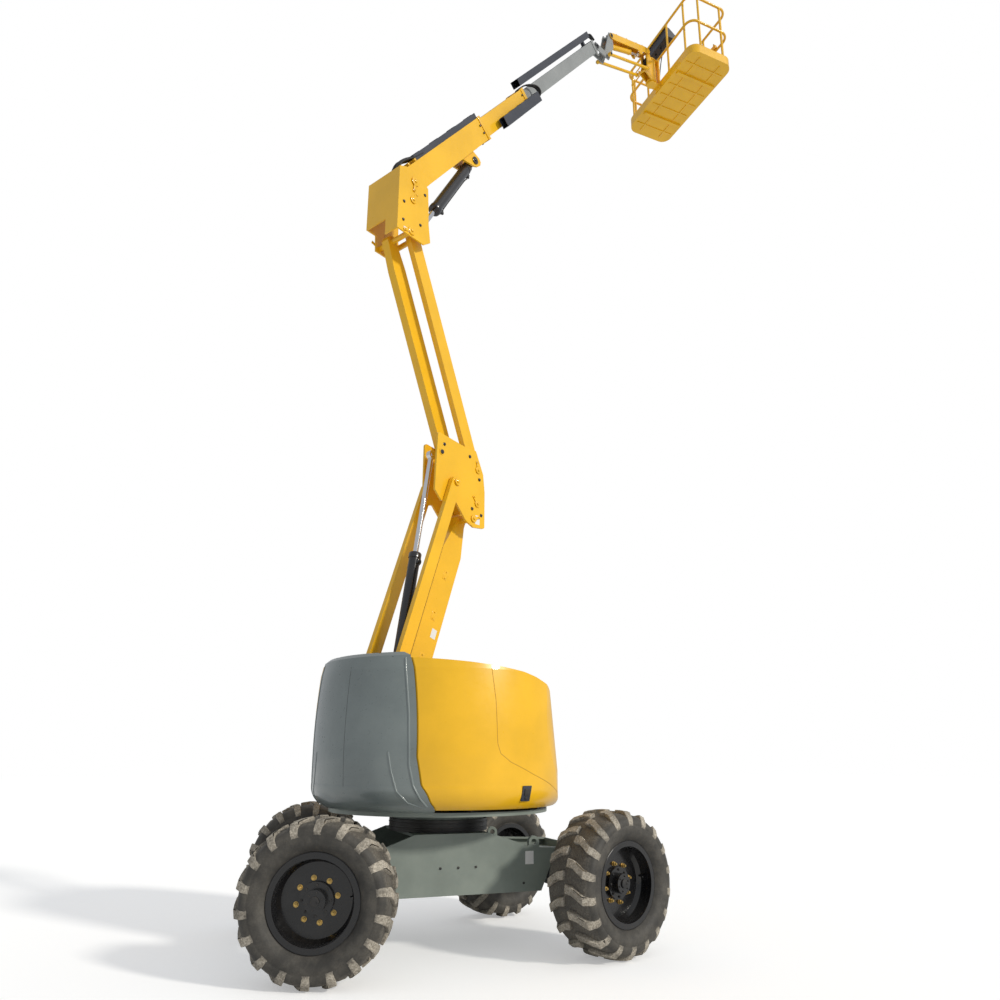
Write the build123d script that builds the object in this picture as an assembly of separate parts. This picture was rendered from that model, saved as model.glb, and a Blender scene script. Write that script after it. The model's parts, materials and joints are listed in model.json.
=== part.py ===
"""Articulating boom lift, rough-terrain type with four-wheel steering.

Millimetres. +X is the front of the chassis, +Y its left side, +Z up; the origin lies on the ground under the slewing
axis. The turret and all it carries are built in the turret's own frame (X forward, Y left) and then turned by SLEW.
Links that swing in the turret's upright plane are built along +X from their lower pin and then placed by link().
"""
import os
from math import atan2, cos, degrees, hypot, pi, radians, sin

from build123d import *

# ---------------------------------------------------------------- pose at rest, degrees
SLEW = 29.0              # turret turned from the chassis
FRONT_STEER = 20.3       # front wheels turned left
REAR_STEER = -21.2       # rear wheels turned the other way
LOWER_ANGLE = 70.5       # lower arm above the horizontal, leaning forward
UPPER_ANGLE = 66.4       # upper arm above the horizontal, leaning back
BOOM_ANGLE = 52.8        # telescopic boom above the horizontal
JIB_ANGLE = 30.6         # jib above the horizontal
BASKET_TURN = -25.8      # basket turned from the jib's direction

# ---------------------------------------------------------------- fits
RUN_GAP = 0.05           # running fit of a pin in its bore, radial
SLIDE_GAP = 0.5          # wear pad to boom section
PART_GAP = 0.3           # between two bodies that bear on each other
PIN_R = 25.0

# ---------------------------------------------------------------- running gear
WHEELBASE = 1942.0
KINGPIN_TRACK = 1274.0
KINGPIN_OFFSET = 285.0   # kingpin to the tyre's middle plane
TYRE_R = 510.0           # over the lugs
TYRE_W = 424.0
TREAD_W = 330.0
SHOULDER_R = 420.0       # where the lugs' shoulders end on the sidewall
LUGS = 18                # lugs a side
LUG_H = 26.0
LUG_SHARE = 0.34         # share of the pitch that a lug's top takes
LUG_DRAFT = 0.03         # share of the pitch that each sloping flank takes
LUG_SWEEP = 0.38         # share of the pitch by which a lug trails at the shoulder
RIM_R = 296.0            # rim flange
RIM_SEAT = 272.0
RIM_W = 330.0
RIM_FLANGE_T = 9.0
RIM_WALL = 12.0
DISC_T = 20.0
DISC_DEPTH = 120.0       # rim disc in from the outer flange
HUB_R = 112.0
HUB_OUT = 74.0           # hub cap beyond the disc
MOTOR_R = 92.0
AXLE_H = 150.0
AXLE_D = 150.0
YOKE_GAP = 200.0         # between the ears that hold a kingpin
YOKE_T = 32.0
YOKE_BACK = 95.0         # ears' back plate from the kingpin
KNUCKLE_R = 62.0
KINGPIN_R = 30.0
STEER_ARM = 190.0        # steering arm, kingpin to tie rod pin
STEER_ARM_T = 36.0
TIE_ROD_R = 20.0
TIE_ROD_DROP = 48.0      # tie rod below the axle's middle
STEER_CYL_R = 42.0
DIFF_R = 112.0

# ---------------------------------------------------------------- chassis frame
FRAME_HALF = 472.0       # outer face of the side plates
FRAME_T = 16.0
FRAME_FLOOR = 408.0
FRAME_DECK = 840.0
FRAME_END = 1150.0
FRAME_END_LOW = 632.0
FRAME_END_TOP = 704.0
DECK_FRONT = 265.0
DECK_REAR = -320.0
BAY_FROM_AXLE = 271.0    # deep part of the frame ends this far before each axle
PLATE_SLOPE = 100.0      # length of the slope between deep part and end
FLANGE_W = 46.0          # inward flange along the side plates' upper edge
SHOULDER_Z = 724.0       # side plates' upper edge beside the tyres
SLEW_RING_R = 395.0
SLEW_RING_IN = 250.0
SLEW_SPLIT = 930.0       # top of the ring's fixed race
TABLE_LOW = 985.0
TABLE_T = 30.0
TABLE_R = 880.0
LUG_HOLE_R = 22.0
LUG_X = 640.0
LUG_T = 30.0
LUG_Z = 764.0            # middle of the tie-down holes
LUG_R = 44.0             # rounded top of a tie-down lug

# ---------------------------------------------------------------- turret
TURRET_R = 1030.0        # tail radius
HOOD_SIDE = 1030.0       # hood's flat side from the middle plane
HOOD_FRONT = 585.0
HOOD_CORNER_R = 520.0
HOOD_STRAIGHT = 1300.0   # hood's front stands upright up to here
HOOD_LEAN = 125.0        # and leans back by this much at the covers' top
COVER_TOP = 2150.0
COVER_T = 8.0
HOOD_IN = 258.0          # hoods begin this far from the middle plane
SLOT_WALL = 250.0        # outer face of the slot's inner walls
SLOT_BACK = 982.0        # slot's rear end behind the slewing axis
SLOT_BACK_TOP = 925.0    # and near its top
CHEEK_IN = 212.0         # turntable side plates, inner face
CHEEK_T = 20.0
SEAM_GAP = 8.0
HINGE_Y = 264.0          # hood hinge from the middle plane
HINGE_Z = 2035.0
HINGE_R = 9.0
HINGE_EYE_R = 13.0
HINGE_ENDS = (-800.0, -480.0)
ENGINE_TOP = 1640.0
TANK_TOP = 1560.0

# ---------------------------------------------------------------- arms
LOWER_LEN = 2422.0
LOWER_PIN = (-593.5, 1204.0)
LOWER_DEPTH = 240.0
LOWER_SIDES = (5.0, 119.0)       # lower arm's right and left face
LOWER_ROOT_SIDE = 42.0           # right face of its narrow lower end
LOWER_ROOT_LEN = 950.0
TIE_OFFSET = (-285.0, 262.0)     # lower tie pins from the lower arm's pins
TIE_IN = 155.0
TIE_T = 45.0
TIE_DEPTH = 110.0
UPPER_LEN = 2515.0
UPPER_DEPTH = 150.0
UPPER_SIDES = (38.0, 119.0)
UPPER_FROM_LOWER = (50.0, 153.0)  # upper arm's pin from the lower arm's pin on the knuckle
UPPER_TIE_OFFSET = (5.0, 330.0)
UPPER_TIE_DEPTH = 130.0
UPPER_TIE_SIDES = (-119.0, -62.0)
EYE_R = 60.0
TIE_EYE_R = 50.0
KNUCKLE_IN = 125.0       # knuckle plates, inner face
KNUCKLE_T = 20.0
ARM_CYL_FOOT = (-46.5, 246.0)    # arm cylinder's foot from the lower arm's base pin
ARM_CYL_EYE = (-430.0, 518.0)    # its eye from the lower arm's pin on the knuckle
ARM_CYL_Y = -15.0
ARM_EYE_HALF = 23.0
ARM_BARREL_R = 48.0
ARM_ROD_R = 23.0
ARM_BARREL_LEN = 1640.0
ARM_STROKE_IN = 500.0    # how far each rod goes in from the pose at rest
BOOM_STROKE_IN = 370.0
JIB_STROKE_IN = 235.0
BARREL_SOLID = 140.0     # solid foot end of each barrel
ROD_SPARE = 30.0
FOOT_PLATE_T = 14.0
WALL = 8.0

# ---------------------------------------------------------------- boom head and boom
HEAD_HALF = 210.0
HEAD_T = 14.0
BOOM_FROM_HEAD = (19.0, 533.0)   # boom pin from the upper arm's top pin
BOOM_EYE_FROM_HEAD = (192.0, 99.0)
BOOM_LUG = (1337.0, -187.0)      # boom cylinder's pin in the outer section's own frame
BOOM_EYE_HALF = 25.0
BOOM_BARREL_R = 56.0
BOOM_ROD_R = 25.0
BOOM_BARREL_LEN = 1010.0
BOOM_LUG_T = 20.0
OUTER_START = 150.0
OUTER_END = 1780.0
OUTER_H = 237.0
OUTER_W = 240.0
MIDDLE_START = 1310.0
MIDDLE_END = 3030.0
MIDDLE_H = 200.0
MIDDLE_W = 204.0
INNER_START = 2470.0
INNER_END = 5700.0
INNER_H = 160.0
INNER_W = 160.0
BOOM_RISE = 18.0         # sections' middle above the boom pin
SECTION_WALL = 8.0
PAD_LEN = 90.0
NOSE_PIN = 5850.0
TRAY_H = 56.0
TOP_TRAY_H = 84.0
TRAY_WALL = 5.0

# ---------------------------------------------------------------- jib and basket
JIB_LEN = 1350.0
JIB_FROM_NOSE = (386.0, 508.0)   # jib's upper pin from the nose pin
JIB_TIE_OFFSET = (-115.0, -458.0)
JIB_HALF = 72.0
JIB_DEPTH = 100.0
JIB_TIE_R = 21.0
JIB_TIE_Y = 100.0
JIB_BRACKET = (42.0, 56.0)       # inner and outer face of the brackets' plates at both ends
JIB_CYL_FOOT_DROP = (35.0, -120.0)
JIB_CYL_REACH = (1000.0, -72.0)
JIB_BARREL_R = 36.0
JIB_ROD_R = 20.0
JIB_BARREL_LEN = 740.0
ROTATOR_REACH = 165.0            # jib's outer upper pin to the basket's turning axis
ROTATOR_R = 80.0
BASKET_FROM_AXIS = 130.0
BASKET_LEN = 1760.0
BASKET_WID = 780.0
BASKET_FLOOR = -555.0            # basket floor from the jib's outer upper pin
FLOOR_CORNER_R = 150.0
FLOOR_T = 20.0
TOE_H = 130.0
TOE_T = 5.0
RAIL_H = 1100.0
RAIL_MID = 0.55                  # middle rail's height as a share of the top rail's
RAIL_R = 19.0
POST_IN = 160.0                  # posts from the basket's corners
POST_MID = 280.0                 # middle posts from the basket's middle
MITRE = 220.0                    # depth of the mitred ends that part the four rail frames


# ---------------------------------------------------------------- small makers
def block(x0, x1, y0, y1, z0, z1):
    """Box between two corners."""
    return Pos((x0 + x1) / 2, (y0 + y1) / 2, (z0 + z1) / 2) * Box(abs(x1 - x0), abs(y1 - y0), abs(z1 - z0))


def bar_y(x, z, radius, y0, y1):
    """Round bar along Y."""
    return Pos(x, (y0 + y1) / 2, z) * Rot(90, 0, 0) * Cylinder(radius, abs(y1 - y0))


def bar_x(y, z, radius, x0, x1):
    """Round bar along X."""
    return Pos((x0 + x1) / 2, y, z) * Rot(0, 90, 0) * Cylinder(radius, abs(x1 - x0))


def bar_z(x, y, radius, z0, z1):
    """Round bar along Z."""
    return Pos(x, y, (z0 + z1) / 2) * Cylinder(radius, abs(z1 - z0))


def bore_y(x, z, radius=PIN_R):
    """Running bore along Y for a pin."""
    return bar_y(x, z, radius + RUN_GAP, -400, 400)


def plate(points, y0, y1, radius=0.0):
    """Flat plate with an outline of (x, z) points, from y0 to y1."""
    low = min(y0, y1)
    corners = [(x, low, z) for x, z in points]
    if radius:
        edge = FilletPolyline(*corners, radius=radius, close=True)
    else:
        edge = Polyline(*corners, close=True)
    return extrude(make_face(edge), amount=abs(y1 - y0), dir=(0, 1, 0))


def slab(points, z0, z1, radius=0.0):
    """Flat plate with an outline of (x, y) points, from z0 to z1."""
    corners = [(x, y, z0) for x, y in points]
    if radius:
        edge = FilletPolyline(*corners, radius=radius, close=True)
    else:
        edge = Polyline(*corners, close=True)
    return extrude(make_face(edge), amount=z1 - z0, dir=(0, 0, 1))


def link(shape, pin, angle):
    """Place a link built along +X from its pin: pin is (x, z) in the turret's plane, angle in degrees."""
    return Pos(pin[0], 0, pin[1]) * Rot(0, -angle, 0) * shape


def both(shape):
    """A shape and its mirror image in the turret's middle plane, as one."""
    return shape + mirror(shape, about=Plane.XZ)


def offset(pin, step):
    """Sum of two (x, z) pairs."""
    return (pin[0] + step[0], pin[1] + step[1])


def reach(pin, angle, along, across=0.0):
    """Point at (along, across) in a link's own frame, in the turret's plane."""
    a = radians(angle)
    return (pin[0] + along * cos(a) - across * sin(a), pin[1] + along * sin(a) + across * cos(a))


def aim(start, end):
    """Angle in degrees and distance from start to end."""
    dx = end[0] - start[0]
    dz = end[1] - start[1]
    return degrees(atan2(dz, dx)), hypot(dx, dz)


# ---------------------------------------------------------------- main points in the turret's plane
LEAN = 180.0 - UPPER_ANGLE
LOWER_TOP = reach(LOWER_PIN, LOWER_ANGLE, LOWER_LEN)
TIE_PIN = offset(LOWER_PIN, TIE_OFFSET)
TIE_TOP = offset(LOWER_TOP, TIE_OFFSET)
UPPER_PIN = offset(LOWER_TOP, UPPER_FROM_LOWER)
HEAD_PIN = reach(UPPER_PIN, LEAN, UPPER_LEN)
UPPER_TIE_PIN = offset(UPPER_PIN, UPPER_TIE_OFFSET)
UPPER_TIE_TOP = offset(HEAD_PIN, UPPER_TIE_OFFSET)
ARM_FOOT = offset(LOWER_PIN, ARM_CYL_FOOT)
ARM_EYE = offset(LOWER_TOP, ARM_CYL_EYE)
BOOM_PIN = offset(HEAD_PIN, BOOM_FROM_HEAD)
BOOM_EYE = offset(HEAD_PIN, BOOM_EYE_FROM_HEAD)
BOOM_FOOT = reach(BOOM_PIN, BOOM_ANGLE, *BOOM_LUG)
NOSE = reach(BOOM_PIN, BOOM_ANGLE, NOSE_PIN)
JIB_ROOT = offset(NOSE, JIB_FROM_NOSE)
JIB_TIE_ROOT = offset(JIB_ROOT, JIB_TIE_OFFSET)
JIB_TIP = reach(JIB_ROOT, JIB_ANGLE, JIB_LEN)
JIB_TIE_TIP = offset(JIB_TIP, JIB_TIE_OFFSET)
JIB_FOOT = offset(JIB_ROOT, JIB_CYL_FOOT_DROP)
JIB_EYE = reach(JIB_ROOT, JIB_ANGLE, *JIB_CYL_REACH)
BASKET_AXIS = offset(JIB_TIP, (ROTATOR_REACH, 0.0))
TABLE_TOP = TABLE_LOW + TABLE_T


# ---------------------------------------------------------------- running gear
def spun(points):
    """Ring from an outline of (y, radius) points turned about the Y axis."""
    face = make_face(Polyline(*[(0, y, r) for y, r in points], close=True))
    return revolve(face, axis=Axis.Y)


def lug_ring(y, low, high, turn):
    """Ring of points about the Y axis with four points to a lug, between the groove's floor and the lug's top."""
    pitch = 2 * pi / LUGS
    half = pitch * LUG_SHARE / 2
    foot = half + pitch * LUG_DRAFT
    points = []
    for i in range(LUGS):
        middle = i * pitch + turn
        for angle, r in ((-foot, low), (-half, high), (half, high), (foot, low)):
            points.append((r * cos(middle + angle), y, r * sin(middle + angle)))
    return points


def plain_ring(y, r, count, turn):
    """Ring of evenly spaced points about the Y axis."""
    return [(r * cos(turn + 2 * pi * i / count), y, r * sin(turn + 2 * pi * i / count)) for i in range(count)]


def strip(a, b):
    """Triangles between two rings of points, where b has as many points as a, or twice as many."""
    n = len(a)
    corners = []
    for i in range(n):
        k = (i + 1) % n
        if len(b) == n:
            corners += [(a[i], a[k], b[i]), (a[k], b[k], b[i])]
        else:
            m = 2 * i + 1
            corners += [(a[i], b[m], b[m - 1]), (a[i], a[k], b[m]), (a[k], b[(m + 1) % len(b)], b[m])]
    return corners


def skin(rings):
    """Solid whose closed surface runs through a cycle of rings of points."""
    corners = []
    for a, b in zip(rings, rings[1:] + rings[:1]):
        corners += strip(a, b) if len(a) <= len(b) else strip(b, a)
    return Solid(Shell([Face(Wire.make_polygon(list(three), close=True)) for three in corners]))


def tyre():
    """Tyre about the Y axis, with slanting lugs on both shoulders that take turns along the middle."""
    floor = TYRE_R - LUG_H
    sweep = 2 * pi / LUGS
    # y, radius of the groove's floor, radius of the lug's top, share of the pitch by which the lug trails
    lug_rows = [(12, floor, TYRE_R, 0.0), (70, floor, TYRE_R, LUG_SWEEP * 0.16),
                (TREAD_W / 2, floor - 12, TYRE_R - 10, LUG_SWEEP)]
    bead = RIM_W / 2 - 1
    wall_rows = [(TYRE_W / 2, SHOULDER_R), (bead, RIM_R + 10), (bead, (RIM_SEAT + PART_GAP) / cos(pi / (2 * LUGS)))]
    halves = []
    for side, shift in ((-1, 0.0), (1, sweep / 2)):
        rings = [lug_ring(side * y, low, high, shift + turn * sweep) for y, low, high, turn in lug_rows]
        last = shift + (LUG_SWEEP - 0.25) * sweep
        rings += [plain_ring(side * y, r, 2 * LUGS, last) for y, r in wall_rows]
        halves.append(rings)
    middle = plain_ring(0, floor, 4 * LUGS, -0.375 * sweep)
    return skin(list(reversed(halves[1])) + [middle] + halves[0])


def rim():
    """Deep-dished rim about the Y axis, its dish open towards -Y (the outside), with its hub."""
    half = RIM_W / 2
    edge = half + RIM_FLANGE_T
    face = -edge + DISC_DEPTH
    ring = spun([
        (-half, RIM_SEAT), (-half, RIM_R), (-edge, RIM_R), (-edge, RIM_SEAT - RIM_WALL),
        (face - 30, RIM_SEAT - RIM_WALL - 8), (face, RIM_SEAT - RIM_WALL - 30), (face, 0), (face + DISC_T, 0),
        (face + DISC_T, RIM_SEAT - RIM_WALL - 20), (face + 40, RIM_SEAT - RIM_WALL), (edge, RIM_SEAT - RIM_WALL),
        (edge, RIM_R), (half, RIM_R), (half, RIM_SEAT),
    ])
    hub = bar_y(0, 0, HUB_R, face - 26, face + DISC_T)
    hub += bar_y(0, 0, HUB_R * 0.62, face - HUB_OUT, face)
    return ring + hub


DISC_BACK = -(RIM_W / 2 + RIM_FLANGE_T) + DISC_DEPTH + DISC_T    # inner face of the disc, from the middle plane


def knuckle(end, side):
    """Steering knuckle with its hub motor, kingpin at the origin; the wheel lies towards side * Y."""
    half = YOKE_GAP / 2 - 4
    face = KINGPIN_OFFSET - DISC_BACK - PART_GAP
    body = bar_z(0, 0, KNUCKLE_R, -half, half)
    body += bar_y(0, 0, MOTOR_R, side * 30, side * face)
    body += block(-end * STEER_ARM, 0, -30, 30, -STEER_ARM_T / 2, STEER_ARM_T / 2)
    body += bar_z(-end * STEER_ARM, 0, 34, -STEER_ARM_T / 2, STEER_ARM_T / 2)
    body -= bar_z(0, 0, KINGPIN_R + RUN_GAP, -YOKE_GAP, YOKE_GAP)
    body -= bar_z(-end * STEER_ARM, 0, 12 + RUN_GAP, -60, 60)
    return body


def wheel_places():
    """Rows of (name, end, side, steer): end +1 front, side +1 left."""
    return [
        ("front_right", 1, -1, FRONT_STEER),
        ("front_left", 1, 1, FRONT_STEER),
        ("rear_right", -1, -1, REAR_STEER),
        ("rear_left", -1, 1, REAR_STEER),
    ]


def at_kingpin(shape, end, side, steer):
    """Place a shape built about the kingpin."""
    return Pos(end * WHEELBASE / 2, side * KINGPIN_TRACK / 2, TYRE_R) * Rot(0, 0, steer) * shape


def axle(end):
    """Axle beam with its yokes, kingpins and the two mounts under the frame."""
    x = end * WHEELBASE / 2
    low = TYRE_R - YOKE_GAP / 2 - YOKE_T
    high = TYRE_R + YOKE_GAP / 2 + YOKE_T
    inner = KINGPIN_TRACK / 2 - YOKE_BACK
    beam = block(x - AXLE_D / 2, x + AXLE_D / 2, -inner, inner, TYRE_R - AXLE_H / 2, TYRE_R + AXLE_H / 2)
    beam += bar_y(x, TYRE_R, DIFF_R, -110, 110)
    for side in (1, -1):
        y = side * KINGPIN_TRACK / 2
        beam += block(x - AXLE_D / 2, x + AXLE_D / 2, side * (inner - 24), side * inner, low, high)
        for level in (low, high - YOKE_T):
            beam += block(x - 55, x + 55, side * (inner - 20), y, level, level + YOKE_T)
            beam += bar_z(x, y, 55, level, level + YOKE_T)
        beam += bar_z(x, y, KINGPIN_R, low - 8, high + 8)
        beam += block(x - 60, x + 60, side * 230, side * 290, TYRE_R + AXLE_H / 2, FRAME_END_LOW)
    return beam


def steering_cylinder(end):
    """Double-ended steering cylinder along the outer face of an axle."""
    x = end * (WHEELBASE / 2 + DIFF_R + STEER_CYL_R + 6)
    face = end * (WHEELBASE / 2 + AXLE_D / 2)
    body = bar_y(x, TYRE_R, STEER_CYL_R, -210, 210) + bar_y(x, TYRE_R, 18, -370, 370)
    for side in (1, -1):
        body += block(face, x, side * 140, side * 180, TYRE_R - 25, TYRE_R + 25)
    return body


def tie_rod(end):
    """Tie rod between the steering arms, in the chassis frame."""
    a = radians(FRONT_STEER if end > 0 else REAR_STEER)
    x = end * (WHEELBASE / 2 - STEER_ARM * cos(a))
    shift = -end * STEER_ARM * sin(a)
    z = TYRE_R - TIE_ROD_DROP
    bar = bar_y(x, z, TIE_ROD_R, shift - KINGPIN_TRACK / 2, shift + KINGPIN_TRACK / 2)
    for side in (1, -1):
        y = shift + side * KINGPIN_TRACK / 2
        bar += bar_z(x, y, 28, z - 22, z + 22)
        bar += bar_z(x, y, 12, z, TYRE_R + STEER_ARM_T / 2 + 10)
    return bar


# ---------------------------------------------------------------- chassis frame
def chassis_frame():
    """Welded frame: two deep side plates with flanges, deck, floor, cross plates and tie-down lugs."""
    bay = WHEELBASE / 2 - BAY_FROM_AXLE
    slope = bay + PLATE_SLOPE
    side_points = [
        (-FRAME_END, FRAME_END_LOW), (-slope, FRAME_END_LOW), (-bay, FRAME_FLOOR), (bay, FRAME_FLOOR),
        (slope, FRAME_END_LOW), (FRAME_END, FRAME_END_LOW), (FRAME_END, FRAME_END_TOP), (LUG_X, SHOULDER_Z),
        (DECK_FRONT, FRAME_DECK), (DECK_REAR, FRAME_DECK), (-LUG_X, SHOULDER_Z), (-FRAME_END, FRAME_END_TOP),
    ]
    inner = FRAME_HALF - FRAME_T
    low = SHOULDER_Z - LUG_R
    frame = both(plate(side_points, inner, FRAME_HALF))
    frame += block(DECK_REAR, DECK_FRONT, -inner, inner, FRAME_DECK - 20, FRAME_DECK)
    frame += block(-bay, bay, -inner, inner, FRAME_FLOOR, FRAME_FLOOR + 12)
    for end in (1, -1):
        frame += block(end * (FRAME_END - FRAME_T), end * FRAME_END, -inner, inner, FRAME_END_LOW, FRAME_END_TOP)
        frame += block(end * (bay - FRAME_T), end * bay, -inner, inner, FRAME_FLOOR, SHOULDER_Z - 9)
        frame += block(end * slope, end * FRAME_END, -inner, inner, FRAME_END_LOW, FRAME_END_LOW + 12)
        edge = [(end * LUG_X, SHOULDER_Z), (end * FRAME_END, FRAME_END_TOP), (end * FRAME_END, FRAME_END_TOP - 12),
                (end * LUG_X, SHOULDER_Z - 12)]
        frame += both(plate(edge, inner - FLANGE_W, inner + 1))
        x = end * LUG_X
        lug = block(x - LUG_R, x + LUG_R, FRAME_HALF - LUG_T, FRAME_HALF, low, LUG_Z)
        lug += bar_y(x, LUG_Z, LUG_R, FRAME_HALF - LUG_T, FRAME_HALF)
        frame += both(lug)
        frame -= both(bar_y(x, LUG_Z, LUG_HOLE_R, FRAME_HALF - 2 * LUG_T, FRAME_HALF + 10))
    return frame


def slew_ring():
    """Fixed race of the slewing ring on its round pedestal."""
    ring = bar_z(0, 0, SLEW_RING_R, FRAME_DECK, SLEW_SPLIT)
    return ring - bar_z(0, 0, SLEW_RING_IN, FRAME_DECK - 5, SLEW_SPLIT + 5)


# ---------------------------------------------------------------- turret
def cover_barrel(inset):
    """Round body of the covers: a slightly barrelled side turned about the slewing axis, drawn in by inset."""
    # radius and height of the side's corners and of the points its arcs pass through
    foot, bulge, waist = (890 - inset, 0, TABLE_TOP), (988 - inset, 0, 1082), (1022 - inset, 0, 1200)
    belly, shoulder = (1029 - inset, 0, 1450), (1001 - inset, 0, 2030)
    brow, rim_top = (982 - inset, 0, 2122), (950 - inset, 0, COVER_TOP)
    edges = [
        Line((0, 0, TABLE_TOP), foot), ThreePointArc(foot, bulge, waist), ThreePointArc(waist, belly, shoulder),
        Line(shoulder, brow), Line(brow, rim_top), Line(rim_top, (0, 0, COVER_TOP)),
        Line((0, 0, COVER_TOP), (0, 0, TABLE_TOP)),
    ]
    return revolve(make_face(Wire(edges)), axis=Axis.Z)


def hood_plan(inset, lean, z):
    """Right-hand plan of the hood at height z, its front leaning back by lean: a face."""
    side = HOOD_SIDE - inset
    front = HOOD_FRONT - inset - lean
    c = HOOD_CORNER_R - inset
    flat = front - c
    near = HOOD_IN - 2.5 * inset
    rear = -TURRET_R - 20
    k = cos(radians(45))
    edges = [
        Line((front, -near, z), (rear, -near, z)), Line((rear, -near, z), (rear, -side, z)),
        Line((rear, -side, z), (flat, -side, z)),
        ThreePointArc((flat, -side, z), (flat + c * k, -side + c * (1 - k), z), (front, -side + c, z)),
        Line((front, -side + c, z), (front, -near, z)),
    ]
    return make_face(Wire(edges))


def cover_side(inset):
    """Side view of the hood as a prism along Y, drawn in by inset on top and front."""
    rear = -TURRET_R - 20
    # x, z along the roof from the rear and down the leaning front
    roof = [(rear, 2122), (-550, 2076), (-340, 2053), (-130, 2026), (0, 1998), (144, 1955), (246, 1916),
            (310, 1873), (350, 1830), (470, 1620), (560, 1350), (590, 1150)]
    points = [(x - inset if x > 300 else x, z - inset) for x, z in roof]
    return plate([*points, (540 - inset, TABLE_TOP - 30), (rear, TABLE_TOP - 30)], rear, 0, radius=40)


def seam_prism(gap):
    """All that lies in front of the seam between hood and counterweight; the seam sweeps forward low down."""
    high = COVER_TOP + 350
    points = [
        (-850 + gap, high), (-846 + gap, 1400), (-820 + gap, 1200), (-760 + gap, 1090), (-650 + gap, TABLE_TOP - 15),
        (1200, TABLE_TOP - 15), (1200, high),
    ]
    return plate(points, -TURRET_R - 20, TURRET_R + 20, radius=140)


def half_cover(inset):
    """Full right-hand hood volume: barrel, plan and side view in common."""
    upright = extrude(hood_plan(inset, 0, TABLE_TOP - 30), amount=HOOD_STRAIGHT - TABLE_TOP + 30, dir=(0, 0, 1))
    leaning = loft([hood_plan(inset, 0, HOOD_STRAIGHT), hood_plan(inset, HOOD_LEAN, COVER_TOP + 10)], ruled=True)
    return (upright + leaning) & cover_barrel(inset) & cover_side(inset)


def hood_right():
    """Hollow hood on the right side, open to the slot and below, with two hinge eyes under its roof."""
    outer = half_cover(0) & seam_prism(SEAM_GAP)
    shell = outer - (half_cover(COVER_T) & seam_prism(SEAM_GAP + COVER_T))
    for start in (HINGE_ENDS[0] + 30, HINGE_ENDS[1] - 90):
        web = block(start, start + 60, -HINGE_Y - HINGE_EYE_R, -HOOD_IN, HINGE_Z, COVER_TOP)
        shell += web & outer
        shell += bar_x(-HINGE_Y, HINGE_Z, HINGE_EYE_R, start, start + 60)
    shell -= block(-2000, 2000, -2000, 0, 0, TABLE_TOP + 20)
    return shell - bar_x(-HINGE_Y, HINGE_Z, HINGE_R + RUN_GAP, -900, 0)


def counterweight():
    """Cast counterweight that closes the turret's rear, with a slot for the arms."""
    slot = [(-835, TABLE_TOP - 10), (-930, 1100), (-SLOT_BACK, 1230), (-SLOT_BACK, 1720), (-SLOT_BACK_TOP, 1900),
            (-SLOT_BACK_TOP, COVER_TOP + 10), (0, COVER_TOP + 10), (0, TABLE_TOP - 10)]
    return cover_barrel(0) - seam_prism(0) - plate(slot, -SLOT_WALL, SLOT_WALL)


def turntable():
    """Turntable: base plate on the slewing ring, two upright cheek plates with the arm pins, slot walls."""
    base = slab([(-900, -900), (380, -900), (570, -700), (570, 700), (380, 900), (-900, 900)], TABLE_LOW, TABLE_TOP)
    base &= bar_z(0, 0, TABLE_R, TABLE_LOW, TABLE_TOP)
    base += bar_z(0, 0, SLEW_RING_R - 30, SLEW_SPLIT + PART_GAP, TABLE_LOW)
    out = CHEEK_IN + CHEEK_T
    cheek = [
        (-800, TABLE_TOP), (540, TABLE_TOP), (540, 1120), (260, 1240), (-420, 1480), (-640, 1560), (-960, 1560),
        (-960, 1260), (-900, 1130),
    ]
    wall = [
        (-820, TABLE_TOP), (540, TABLE_TOP), (540, 1300), (420, 1600), (300, 1790), (200, 1860), (0, 1930),
        (-340, 1985), (-820, 1990),
    ]
    body = base
    body += both(plate(cheek, CHEEK_IN, out))
    body += both(plate(wall, SLOT_WALL - 6, SLOT_WALL))
    body += both(block(-700, 500, out - 1, SLOT_WALL - 5, TABLE_TOP - 1, TABLE_TOP + 60))
    body += both(bar_x(HINGE_Y, HINGE_Z, HINGE_R, *HINGE_ENDS))
    for x in (HINGE_ENDS[0] - 8, HINGE_ENDS[1]):
        body += both(block(x, x + 8, SLOT_WALL - 6, HINGE_Y + 12, HINGE_Z - 80, HINGE_Z + 12))
    body += block(520, 540, -CHEEK_IN - 2, CHEEK_IN + 2, TABLE_TOP - 1, 1100)
    body += bar_y(*LOWER_PIN, PIN_R, -out - 10, out + 10)
    for side in (1, -1):
        body += bar_y(*TIE_PIN, PIN_R, side * (TIE_IN - 6), side * (out + 10))
    foot_x, foot_z = ARM_FOOT
    half = ARM_EYE_HALF + 5
    for side in (1, -1):
        near = ARM_CYL_Y + side * half
        far = ARM_CYL_Y + side * (half + FOOT_PLATE_T)
        points = [(foot_x - 150, TABLE_TOP - 1), (foot_x + 210, TABLE_TOP - 1), (foot_x + 45, foot_z),
                  (foot_x + 30, foot_z + 40), (foot_x - 30, foot_z + 40), (foot_x - 45, foot_z)]
        body += plate(points, near, far)
    body += bar_y(*ARM_FOOT, PIN_R, ARM_CYL_Y - half - FOOT_PLATE_T - 4, ARM_CYL_Y + half + FOOT_PLATE_T)
    return body


def engine():
    """Engine with its pump, as one block on the turntable's right side."""
    return block(-460, 330, -760, -330, TABLE_TOP, ENGINE_TOP)


def tanks():
    """Fuel and hydraulic oil tanks on the turntable's left side."""
    return block(-460, -40, 330, 740, TABLE_TOP, TANK_TOP) + block(10, 400, 330, 680, TABLE_TOP, TANK_TOP - 80)


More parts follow.
